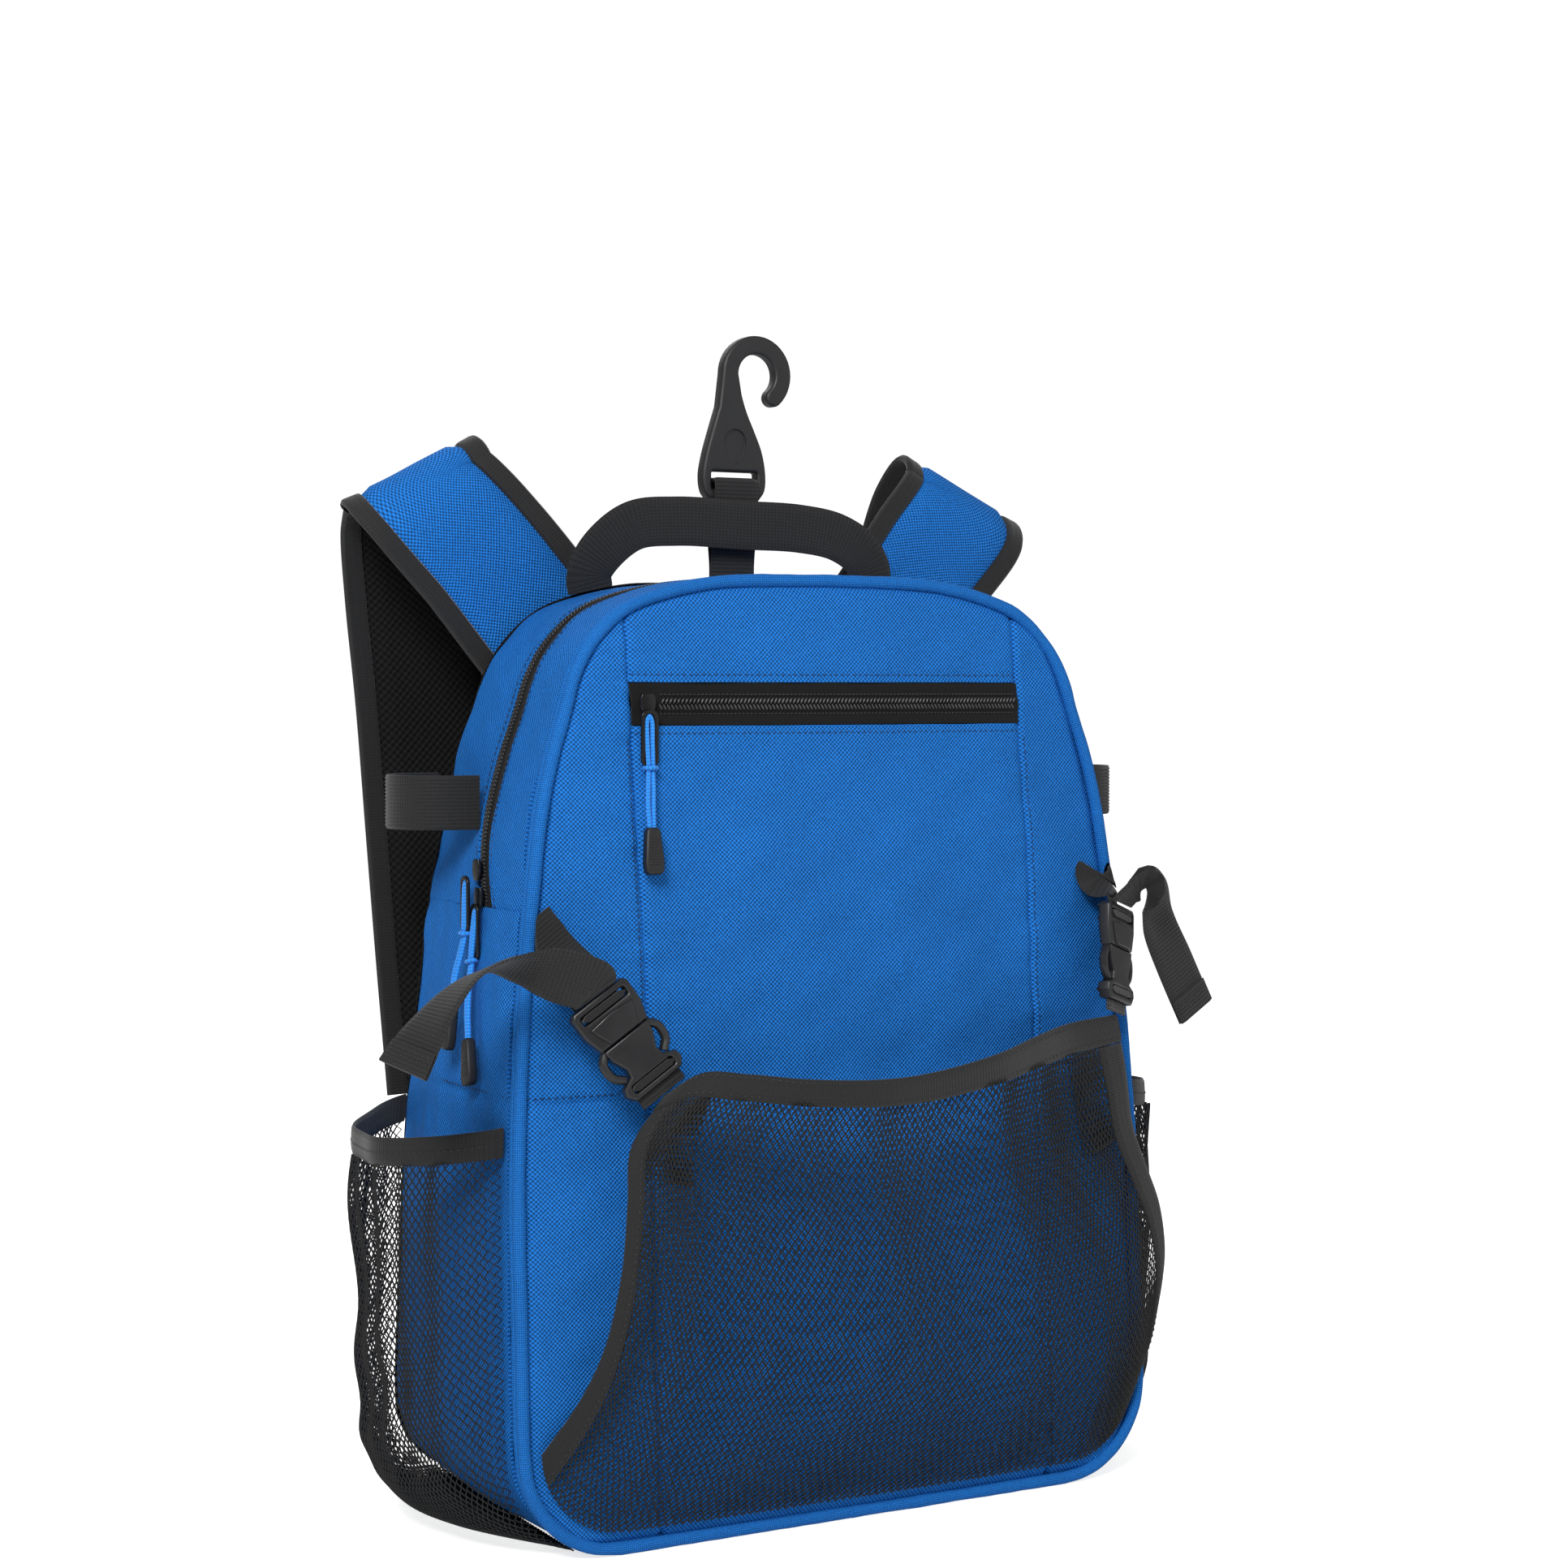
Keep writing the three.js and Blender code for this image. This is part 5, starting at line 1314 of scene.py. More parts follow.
# Buckles on the front net's corners
BUCKLE_WIDTH = 33.0
BUCKLE = 8.0
ADJUSTER_LENGTH = 22.0
SOCKET_LENGTH = 27.0
NET_TAB_LENGTH = 5.0
TAIL_LIFT = WEBBING + 4 * SEAM_GAP
BUCKLES = (
    dict(word="left", turn=0.0, sewn=(-11, 4.5, 15),
         root=(-152, -15, 279), top=(-140, -33, 261), foot=(-113, -44, 220), tail=[
        ((-157, -42, 271), (0.65, -0.1, 0.75)),
        ((-176.2, -39, 276.6), (0.25, -0.75, 0.6)),
        ((-190.3, -39, 278), (0.15, -0.93, 0.33)),
        ((-206, -40, 272), (0.3, -0.9, 0.3)),
        ((-225, -43, 254), (0.55, -0.75, 0.25)),
        ((-238, -45, 235), (0.75, -0.55, 0.15)),
    ]),
    dict(word="right", turn=-0.55, sewn=(1, 0.5, 1.5),
         root=(150, -16, 306), top=(157, -22, 291), foot=(149, -33, 243), tail=[
        ((168, -29, 301), (0.8, 0.4, -0.3)),
        ((177, -26, 297), (0.85, 0.35, 0.1)),
        ((184, -21, 281), (0.86, 0.2, 0.45)),
        ((195, -20, 260), (0.86, 0.1, 0.4)),
        ((209.7, -18, 234.2), (0.88, 0.1, 0.35)),
    ]),
)


def buckle_line(buckle):
    """Directions and places along a buckle, from its strap to the net's corner."""
    top, foot = np.array(buckle["top"], dtype=float), np.array(buckle["foot"], dtype=float)
    along = unit(foot - top)
    across = unit(np.array((-along[2], 0.0, along[0])))
    turn, facing = buckle["turn"], np.cross(along, across)
    across = across * math.cos(turn) + facing * math.sin(turn)
    facing = np.cross(along, across)
    at = lambda distance: top + along * distance
    tab_start = ADJUSTER_LENGTH + SOCKET_LENGTH + 2 * SEAM_GAP
    return dict(
        along=along, across=across, facing=facing, bend=at(-7), end=at(-0.4),
        tail_root=[(at(-1.2) + facing * TAIL_LIFT, across), (at(-5) + facing * (TAIL_LIFT + 4), across)],
        adjuster=at(ADJUSTER_LENGTH / 2),
        socket=at(ADJUSTER_LENGTH + SEAM_GAP + SOCKET_LENGTH / 2),
        tab=(at(tab_start), at(tab_start + NET_TAB_LENGTH)),
        corner=at(tab_start + NET_TAB_LENGTH + 1.2),
    )


def adjuster_shape():
    """The tongue half: a framed slot with two bars, and a domed shield between the side prongs."""
    half = ADJUSTER_LENGTH / 2
    slot_line = shifted(rounded_rectangle(WEBBING_WIDTH + 1, 4, 1), 0, -half / 2)
    outline = [(-BUCKLE_WIDTH / 2 + 2, -half), (BUCKLE_WIDTH / 2 - 2, -half), (BUCKLE_WIDTH / 2, -half + 2),
               (BUCKLE_WIDTH / 2, half * 0.15), (BUCKLE_WIDTH * 0.42, half), (-BUCKLE_WIDTH * 0.42, half),
               (-BUCKLE_WIDTH / 2, half * 0.15), (-BUCKLE_WIDTH / 2, -half + 2)]
    body = plate(outline, BUCKLE - 1.4, 1.4, [slot_line], bevel_steps=3)
    shield = [(-12.5, -0.5), (0, -1.8), (12.5, -0.5), (11, 4), (8, 10.5), (-8, 10.5), (-11, 4)]
    faces = [moved(plate(shield, 2.4, 1.0, bevel_steps=3), (0, 0, side * (BUCKLE / 2 - 0.6)))
             for side in (-1, 1)]
    bar = plate(rounded_rectangle(BUCKLE_WIDTH - 3, 2.4, 1.1), 2.6, 0.9)
    bars = [moved(bar, (0, -half / 2 + 3.4 * k, BUCKLE / 2 - 0.7)) for k in (-1, 1)]
    return joined([body, *faces, *bars])


def socket_shape():
    """The socket half: a waisted body with a wedge between its prongs, and a curved bar for the net's tab."""
    half, end = BUCKLE_WIDTH / 2, SOCKET_LENGTH / 2
    waist = BUCKLE_WIDTH * 0.27
    side = [(half * 0.8, -end), (half * 0.74, -end * 0.55), (waist, -end * 0.05), (waist + 0.8, end * 0.22),
            (half * 0.95, end * 0.42), (half, end * 0.7), (half * 0.82, end)]
    outline = side + [(-x, y) for x, y in side[::-1]]
    slot_line = shifted(rounded_rectangle(WEBBING_WIDTH - 1, 3.8, 1.2), 0, end - 5)
    body = plate(outline, BUCKLE - 1.0, 1.4, [slot_line], bevel_steps=3)
    wedge = [(-10.5, -end + 1), (10.5, -end + 1), (8, -end * 0.45), (0, end * 0.12), (-8, -end * 0.45)]
    panel = moved(plate(wedge, 1.8, 0.8, bevel_steps=3), (0, 0, BUCKLE / 2 - 0.4))
    turns = np.linspace(math.radians(205), math.radians(335), 15)
    arch = [(half * 0.98 * math.cos(a), end * 0.98 + 9.0 * math.sin(a), BUCKLE / 2 - 1.2) for a in turns]
    bar = tube(np.array(arch), 1.7, sides=10)
    prongs = []
    for hand in (-1, 1):
        line = [(hand * half * 0.72, -end + 0.5, 0), (hand * half * 0.98, -end * 0.62, 0),
                (hand * half * 0.96, -end * 0.1, 0), (hand * half * 0.7, end * 0.22, 0)]
        prongs.append(tube(spline(line, np.linspace(0, 1, 16)), 2.2, sides=10))
    return joined([body, panel, bar, *prongs])


def build_buckles():
    for buckle in BUCKLES:
        word, line = buckle["word"], buckle_line(buckle)
        root = np.array(buckle["root"], dtype=float)
        lead = unit(np.array(buckle["top"], dtype=float) - root)
        start = (root + np.array(buckle["sewn"], dtype=float), (-lead[2], 0.0, lead[0]))
        strap = [start, (root, (-lead[2], 0.0, lead[0])), (line["bend"], line["across"]),
                 (line["end"], line["across"])]
        deep = line["facing"] * 3.6
        through = lambda at: band([(at - deep, line["across"]), (at + deep, line["across"])],
                                  WEBBING_WIDTH, 3.2, 6)
        turned = through(line["adjuster"] - line["along"] * ADJUSTER_LENGTH / 4)
        points, faces, loops = band(strap, WEBBING_WIDTH, WEBBING, 36)
        seam_at = float(rim(way_at_height(root[2]), 2 * PIPING_RADIUS)[0])
        points[:, 0] = np.clip(points[:, 0], -seam_at, seam_at)
        piece(f"buckle_strap_webbing_{word}", joined([(points, faces, loops), turned]), "webbing",
              f"buckle_strap_{word}")
        stations = [*line["tail_root"], *buckle["tail"]]
        steps = 70
        tail = band(stations, WEBBING_WIDTH, WEBBING, steps)
        spine, across, normal, along = band_stations(stations, steps)
        hem_rows, hem_at = slice(steps - 5, steps + 1), steps - 3
        hem = swept(spine[hem_rows] + normal[hem_rows] * WEBBING * 0.8, across[hem_rows], normal[hem_rows],
                    band_profile(WEBBING_WIDTH - 0.6, WEBBING * 0.9))
        piece(f"strap_tail_webbing_{word}", joined([tail, hem]), "webbing", f"strap_tail_{word}")
        for off in (-1.5, 1.5):
            centre = spine[hem_at] + along[hem_at] * off
            width = np.linspace(-10, 10, 12)[:, None] * across[hem_at]
            for face in (-1, 1):
                lift = WEBBING * (1.35 if face > 0 else 0.55)
                outward_way = normal[hem_at] * face
                stitch_row("black_thread", centre + width + outward_way * lift, outward_way, pitch=2.6)
        tongue = placed(adjuster_shape(), line["adjuster"], line["along"], line["across"])
        piece(f"buckle_tongue_{word}", tongue, "buckle_plastic", f"buckle_adjuster_{word}", sharp=30)
        socket = placed(socket_shape(), line["socket"], line["along"], line["across"])
        piece(f"buckle_body_{word}", socket, "buckle_plastic", f"buckle_socket_{word}", sharp=30)
        ends = [(at, line["across"]) for at in line["tab"]]
        folded = through(line["socket"] + line["along"] * (SOCKET_LENGTH / 2 - 5))
        piece(f"net_tab_webbing_{word}", joined([band(ends, WEBBING_WIDTH, WEBBING, 6), folded]), "webbing",
              f"net_tab_{word}")


# Front net: edges as across, up and out from the front plane
NET_LEFT_EDGE = [(-166, 50, 2), (-148, 76, 11), (-138, 100, 18), (-131, 135, 24), (-129, 168, 28),
                 (-128, 193, 31)]
NET_RIGHT_EDGE = [(166, 56, 2), (173, 74, 7), (179, 90, 8), (184, 114, 8), (181, 137, 9), (171, 159, 12),
                  (162, 180, 14), (156, 208, 18)]
NET_TOP_EDGE = [(-96, 226, 42), (-76, 225, 50), (-50, 222, 58), (-16, 220, 62), (14, 220.6, 59), (60, 226, 49),
                (88, 231, 38), (116, 235, 27)]


def edge_points(rows):
    return [np.array((across, front_plane(up) - out, up)) for across, up, out in rows]


def make_front_net_surface():
    corner_left, corner_right = (buckle_line(buckle)["corner"] for buckle in BUCKLES)
    sewn = 2 * PIPING_RADIUS + SEAM_GAP + 2.8
    way_left = -float(way_at_height(NET_LEFT_EDGE[0][1], sewn))
    way_right = float(way_at_height(NET_RIGHT_EDGE[0][1], sewn))

    def bottom(a):
        x, z = rim(lerp(way_left, way_right, a), sewn)
        return front_face(x, z, 1.5)

    left = [bottom(np.zeros(1))[0], *edge_points(NET_LEFT_EDGE)[1:], corner_left]
    right = [bottom(np.ones(1))[0], *edge_points(NET_RIGHT_EDGE)[1:], corner_right]
    top = [corner_left, *edge_points(NET_TOP_EDGE), corner_right]
    low_left, low_right = bottom(np.zeros(1))[0], bottom(np.ones(1))[0]

    def surface(a, b, lift=0.0):
        a, b = np.broadcast_arrays(np.asarray(a, dtype=float), np.asarray(b, dtype=float))
        shape = a.shape
        a, b, lift = a.ravel(), b.ravel(), np.broadcast_to(lift, shape).ravel()
        share_a, share_b = a[:, None], b[:, None]
        top_a = spline(top, a)
        sides = lerp(spline(left, b), spline(right, b), share_a)
        ends = lerp(bottom(a), top_a, share_b)
        corners = lerp(lerp(low_left, low_right, share_a), lerp(corner_left, corner_right, share_a), share_b)
        points = sides + ends - corners
        bulge = np.sin(math.pi * np.clip(a, 0, 1)) * np.sin(math.pi * np.clip(b, 0, 1))
        points[:, 1] -= FRONT_NET_SWELL * bulge + lift * np.clip(bulge * 6, 0, 1)
        return points.reshape(shape + (3,))

    return surface


def net_folds(a, b):
    """Soft upright folds where the net is gathered, in millimetres out."""
    return 1.6 * np.sin(2 * math.pi * (a * 9 + 0.35 * b)) * b ** 1.5 + 1.0 * waves(a * 300, b * 200, 61, 60)


def zigzag_net(surface, a_range, b_range, cells_across, cells_up):
    """Zigzag strands of a diamond net over a surface of shares a and b."""
    a0, a1 = a_range
    b0, b1 = b_range
    steps = 2 * cells_up
    b = np.linspace(b0, b1, steps + 1)
    lines = []
    for strand in range(2 * cells_across):
        zig = (np.arange(steps + 1) % 2) * (0.5 if strand % 2 == 0 else -0.5)
        middle = strand // 2 + (0.0 if strand % 2 == 0 else 1.0)
        touch = 0.06 if strand % 2 == 0 else -0.06
        place = (middle + zig * 0.88 + touch) / cells_across
        lines.append(surface(np.clip(lerp(a0, a1, place), a0, a1), b))
    return lines


def tape_stitches(row, inward, outward_way):
    """Keeps a row of stitches on a net's tape, on the face that looks outward."""
    facing = unit(np.cross(np.gradient(row, axis=0), inward))
    facing = facing * np.sign(facing @ outward_way)[:, None]
    stitch_row("black_thread", row + facing * (BINDING / 2 + STITCH_PROUD), facing)


def surface_band(surface, a, b, thickness, uv):
    """A tape on a surface, with its long edges thinned to look folded."""
    edge = np.linspace(-1, 1, a.shape[1])
    taper = np.sqrt(np.clip(1 - np.abs(edge) ** 6, 0.15, 1))
    return shell(surface(a, b), thickness * taper[None], uv)


def build_front_net():
    surface = make_front_net_surface()
    folded = lambda a, b: surface(a, b, net_folds(a, b))
    rim_from = 1 - NET_RIM_HEIGHT / FRONT_NET_HEIGHT
    cell_w, cell_h = sizes().net_cell_width / MM, sizes().net_cell_height / MM
    width = float(travelled(surface(np.linspace(0, 1, 80), np.full(80, 0.55)))[-1])
    height = float(travelled(surface(np.full(60, 0.5), np.linspace(0, 1, 60)))[-1])
    share = NET_BINDING_WIDTH / width * 0.6
    lines = zigzag_net(folded, (share, 1 - share), (0.012, rim_from + 0.01), int(width / cell_w),
                       int(height / cell_h))
    strands("front_net_mesh", lines, sizes().net_strand / MM / 2, "net", "front_net")

    doubled = lambda a, b: surface(a, b, net_folds(a, b) + 1.2)
    for word, low, high in (("left", share, 0.16), ("right", 0.86, 1 - share)):
        patch = zigzag_net(doubled, (low, high), (0.74, rim_from), int(width * (high - low) / cell_w),
                           int(height * 0.2 / cell_h))
        strands(f"front_net_patch_{word}", patch, sizes().net_strand / MM / 2, "net")

    binding_share = lambda b: NET_BINDING_WIDTH / np.linalg.norm(
        surface(np.ones_like(b), b) - surface(np.zeros_like(b), b), axis=-1)
    u, v = np.meshgrid(np.linspace(0, 1, 161), np.linspace(0, 1, 11), indexing="ij")
    b = lerp(rim_from, 1.0, v)
    uv = stack(u * width, v * NET_RIM_HEIGHT, 0.0)[..., :2]
    piece("front_net_rim_tape", surface_band(surface, u, b, BINDING, uv), "binding_tape", "front_net_rim")
    u, v = np.meshgrid(np.linspace(0, 1, 121), np.linspace(0, 1, 11), indexing="ij")
    b = lerp(0.012, rim_from - 0.003, u)
    uv = stack(u * height, v * NET_BINDING_WIDTH, 0.0)[..., :2]
    for word, a in (("left", binding_share(b) * v), ("right", 1 - binding_share(b) * (1 - v))):
        piece(f"front_net_binding_tape_{word}", surface_band(surface, a, b, BINDING, uv), "binding_tape",
              f"front_net_binding_{word}")
    line_b = np.linspace(0.02, rim_from - 0.01, 160)
    for a in (binding_share(line_b) * 0.8, 1 - binding_share(line_b) * 0.8):
        row = surface(a, line_b)
        tape_stitches(row, surface(a + 0.01, line_b) - row, TO_FRONT)
    line_a = np.linspace(0.01, 0.99, 200)
    for b_at in (rim_from + 0.011, 0.992):
        row = surface(line_a, np.full(200, b_at))
        tape_stitches(row, surface(line_a, np.full(200, b_at - 0.01)) - row, TO_FRONT)


# Side net pockets: share of the height, and out beyond the bag's side
POCKET_SECTIONS = [(0.012, -32), (0.02, -6.9), (0.06, 19), (0.15, 32), (0.3, 37.5), (0.55, 41),
                   (1 - NET_RIM_HEIGHT / SIDE_POCKET_HEIGHT, 43), (1.0, 43)]


def make_side_net_surface(side):
    line = np.array([(out, up * SIDE_POCKET_HEIGHT) for up, out in POCKET_SECTIONS])

    def surface(a, b, lift=0.0):
        a, b = np.broadcast_arrays(np.asarray(a, dtype=float), np.asarray(b, dtype=float))
        shape = a.shape
        a, b, lift = a.ravel(), b.ravel(), np.broadcast_to(lift, shape).ravel()
        section = spline(line, b)
        bow = np.maximum(np.sin(math.pi * np.clip(a, 0, 1)), 0) ** 0.7
        z = section[:, 1] * (1 - SIDE_POCKET_SAG * bow / SIDE_POCKET_HEIGHT)
        y = lerp(front_plane(z) + GUSSET_FRONT + 0.5, back_plane(z) - 1, a)
        slack = 0.8 * (1 + 5 * np.clip(1 - z / CORNER_RADIUS, 0, 1))
        seated = gusset_reach(z, y - front_plane(z)) + SEAM_GAP + slack
        bulge = np.maximum(BAG_HALF_WIDTH + section[:, 0], seated)
        x = lerp(seated, bulge, bow) + 0.8 + lift * np.clip(bow * 2, 0, 1) * np.clip(z / 40, 0, 1)
        return stack(side * x, y, z).reshape(shape + (3,))

    return surface


def build_side_pockets():
    last_span = 1 / (len(POCKET_SECTIONS) - 1)
    rim_from = 1 - last_span
    cell_w, cell_h = sizes().net_cell_width / MM, sizes().net_cell_height / MM
    for side, word in ((-1, "left"), (1, "right")):
        surface = make_side_net_surface(side)
        fold = lambda a, b: 1.8 * np.sin(2 * math.pi * 8 * a + 2 * b) * np.clip(b, 0, 1) ** 2 \
            + 1.6 * waves(a * 160, b * 240, 71 + side, 55)
        folded = lambda a, b: surface(a, b, fold(a, b))
        width = float(travelled(surface(np.linspace(0, 1, 80), np.full(80, 0.7)))[-1])
        height = float(travelled(surface(np.full(90, 0.5), np.linspace(0, rim_from, 90)))[-1])
        marks = np.linspace(0, rim_from, 90)

        def even(a, b):
            along = travelled(surface(np.full(90, np.mean(a)), marks))
            return folded(a, np.interp(b * along[-1], along, marks))

        lines = zigzag_net(even, (0.0, 1.0), (0.0, 1.0), int(width / cell_w), int(height / cell_h))
        strands(f"side_net_mesh_{word}", lines, sizes().net_strand / MM / 2, "net", f"side_net_{word}")
        u, v = np.meshgrid(np.linspace(0, 1, 121), np.linspace(0, 1, 11), indexing="ij")
        b = lerp(rim_from - 0.002, 1.0, v)
        uv = stack(u * width, v * NET_RIM_HEIGHT, 0.0)[..., :2]
        wavy = lambda a, b: surface(a, b, 1.2 * np.sin(2 * math.pi * 3 * a + 1))
        piece(f"side_net_rim_tape_{word}", surface_band(wavy, u, b, BINDING, uv), "binding_tape",
              f"side_net_rim_{word}")
        line_a = np.linspace(0.02, 0.98, 160)
        row = wavy(line_a, np.full(160, lerp(rim_from, 1.0, 0.38)))
        tape_stitches(row, (0.0, 0.0, 1.0), -side * TO_LEFT)


# Elastic loops on the gusset, each a half ring
BAT_LOOPS = (
    dict(name="bat_loop_left", side=-1, centre=80, half_span=25, reach=34),
    dict(name="bat_loop_right", side=1, centre=68, half_span=25, reach=50),
)
BAT_LOOP_HEIGHT = 347.0


def build_bat_loops():
    for loop in BAT_LOOPS:
        side, centre, half_span = loop["side"], loop["centre"], loop["half_span"]
        low = BAT_LOOP_HEIGHT - ELASTIC_WIDTH / 2
        root = float(gusset_reach(low, centre - half_span - front_plane(BAT_LOOP_HEIGHT))) + SEAM_GAP
        angles = np.linspace(0, math.pi, 71)
        out = root + np.sin(angles) ** 0.8 * (loop["reach"] + ELASTIC / 2)
        y = centre - (half_span + ELASTIC / 2) * np.cos(angles)
        spine = stack(side * out, y, np.full(71, BAT_LOOP_HEIGHT))
        across = np.broadcast_to((0.0, 0.0, 1.0), spine.shape)
        along = unit(np.gradient(spine, axis=0))
        normal = np.cross(along, across)
        profile = band_profile(ELASTIC_WIDTH, ELASTIC, ribs=15, depth=0.5)
        shape = swept(spine, across, normal, profile)
        piece(f"{loop['name']}_elastic", shape, "elastic", loop["name"], sharp=60)


# Handle and hook at the top
def build_handle():
    left_x, left_z = (float(value) for value in rim(-float(way_at_half_width(83)), 0.6))
    right_x, right_z = (float(value) for value in rim(float(way_at_half_width(77)), 0.6))
    y, top = DEPTH_AT_TOP - 2, BAG_HEIGHT
    stations = [
        ((left_x, y, left_z), (1, 0, 0.22)),
        ((left_x - 1.5, y - 2, left_z + 8), (1, 0, 0.2)),
        ((left_x + 4, y - 4, left_z + 19), (0.9, 0, -0.35)),
        ((-62, y - 6, top + 26), (0.5, 0, -0.85)),
        ((-38, y - 7, top + 29), (0, 0, -1)),
        ((0, y - 7, top + 28), (0, 0, -1)),
        ((34, y - 7, top + 27), (0, 0, -1)),
        ((57, y - 6, top + 23), (-0.5, 0, -0.85)),
        ((right_x - 4, y - 4, right_z + 19), (-0.9, 0, -0.35)),
        ((right_x + 1.5, y - 2, right_z + 8), (-1, 0, 0.2)),
        ((right_x, y, right_z), (-1, 0, 0.22)),
    ]
    piece("handle_webbing", band(stations, WEBBING_WIDTH, WEBBING, 140), "webbing", "handle")


def hook_outline():
    bar, crook = BAG_HEIGHT + HOOK_BAR_HEIGHT, BAG_HEIGHT + HOOK_CROOK_HEIGHT
    centre = 11.5
    outer, middle = HOOK_INNER_RADIUS + HOOK_ROD_WIDTH, HOOK_INNER_RADIUS + HOOK_ROD_WIDTH / 2
    tip_angle = -0.84
    right_side = np.array([(12.5, bar), (16, bar + 5), (16.7, bar + 13), (14.6, bar + 25), (10.5, bar + 35),
                           (5.5, bar + 46), (2, crook - 8)])
    left_side = np.array([(-10.6, bar + 48), (-14.5, bar + 36), (-18.6, bar + 22), (-20.2, bar + 12),
                          (-19, bar + 4), (-16, bar)])
    arc = lambda x, z, radius, start, end, steps: [
        (x + radius * math.cos(a), z + radius * math.sin(a)) for a in np.linspace(start, end, steps)]
    inner = arc(centre, crook, HOOK_INNER_RADIUS, math.pi, tip_angle, 26)
    tip_x, tip_z = centre + middle * math.cos(tip_angle), crook + middle * math.sin(tip_angle)
    tip = arc(tip_x, tip_z, HOOK_ROD_WIDTH / 2, tip_angle + math.pi, tip_angle + 2 * math.pi, 12)[1:-1]
    back = arc(centre, crook, outer, tip_angle, math.pi, 30)
    smooth = lambda line, count: [tuple(p) for p in spline(line, np.linspace(0, 1, count))]
    outline = smooth(right_side, 24)[:-1] + inner + tip + back + smooth(left_side, 20)
    low = bar + HOOK_BAR_WIDTH
    opening = shifted(rounded_rectangle(WEBBING_WIDTH + 1.2, HOOK_SLOT_HEIGHT, 1.2), HOOK_CENTRE,
                      low + HOOK_SLOT_HEIGHT / 2)
    return outline, opening


def build_hook():
    outline, opening = hook_outline()
    shape = placed(plate(outline, HOOK_THICKNESS, 1.9, [opening], bevel_steps=4), (0, DEPTH_AT_TOP, 0),
                   (0, 0, 1), (1, 0, 0))
    hook = mesh_of("moulded_hook", shape)
    bar = BAG_HEIGHT + HOOK_BAR_HEIGHT
    drop_at = bar + HOOK_BAR_WIDTH + HOOK_SLOT_HEIGHT + 6
    drop = [(HOOK_CENTRE + 6.2 * math.sin(a) * (1 - 0.25 * math.cos(a)), drop_at + 7 - 9 * math.cos(a))
            for a in np.linspace(0, 2 * math.pi, 40, endpoint=False)]
    depth = 1.1
    for face in (-1, 1):
        cut_shape = placed(plate(drop, 2 * depth, 0.4), (0, DEPTH_AT_TOP + face * HOOK_THICKNESS / 2, 0),
                           (0, 0, 1), (1, 0, 0))
        hook = cut_from(hook, mesh_of("recess", cut_shape))
    piece("moulded_hook", hook, "hook_plastic", "hook", sharp=28)

    foot, fork = BAG_HEIGHT - GUSSET_INSET + SEAM_GAP, BAG_HEIGHT + 12
    top = bar + HOOK_BAR_WIDTH + SEAM_GAP + 3.8
    inner = HOOK_THICKNESS / 2 + SEAM_GAP
    middle = inner + WEBBING / 2
    y = DEPTH_AT_TOP
    front_half = [(-1.1, foot), (-1.1, fork - 4), (-middle, bar - 6), (-middle, top), (1 - middle, top + 0.9)]
    loop = [(y + off, z) for off, z in front_half] + [(y, top + 1.0)]
    loop += [(y - off, z) for off, z in front_half[::-1]]
    stations = [((HOOK_CENTRE, at_y, at_z), (1, 0, 0)) for at_y, at_z in loop]
    piece("hook_strap_webbing", band(stations, WEBBING_WIDTH, WEBBING, 120), "webbing", "hook_strap")


def cut_from(mesh, cutter_mesh):
    """The mesh less the cutter's."""
    obj = bpy.data.objects.new("cut", mesh)
    cutter = bpy.data.objects.new("cutter", cutter_mesh)
    for item in (obj, cutter):
        bpy.context.scene.collection.objects.link(item)
    modifier = obj.modifiers.new("cut", "BOOLEAN")
    modifier.operation = "DIFFERENCE"
    modifier.solver = "EXACT"
    modifier.object = cutter
    result = bpy.data.meshes.new_from_object(obj.evaluated_get(bpy.context.evaluated_depsgraph_get()))
    bpy.data.objects.remove(obj)
    bpy.data.objects.remove(cutter)
    return result


# Shoulder straps: across, behind the back, up, and the direction across the strap
STRAP_ROWS = [
    (76, 0, 404, (0.8, 0, -0.6)), (104, 2, 437, (0.82, 0, -0.57)), (132, 5, 471, (0.86, -0.05, -0.5)),
    (158, 12, 500, (0.88, -0.09, -0.47)), (161, 26, 509, (0.88, -0.09, -0.47)),
    (157, 38, 497, (0.89, -0.05, -0.45)), (148, 50, 455, (0.94, 0, -0.33)), (140, 54, 400, (0.98, 0, -0.2)),
    (133, 50, 330, (1, 0, -0.1)), (128, 40, 255, (1, 0, 0)), (126, 26, 195, (1, 0, 0)),
]


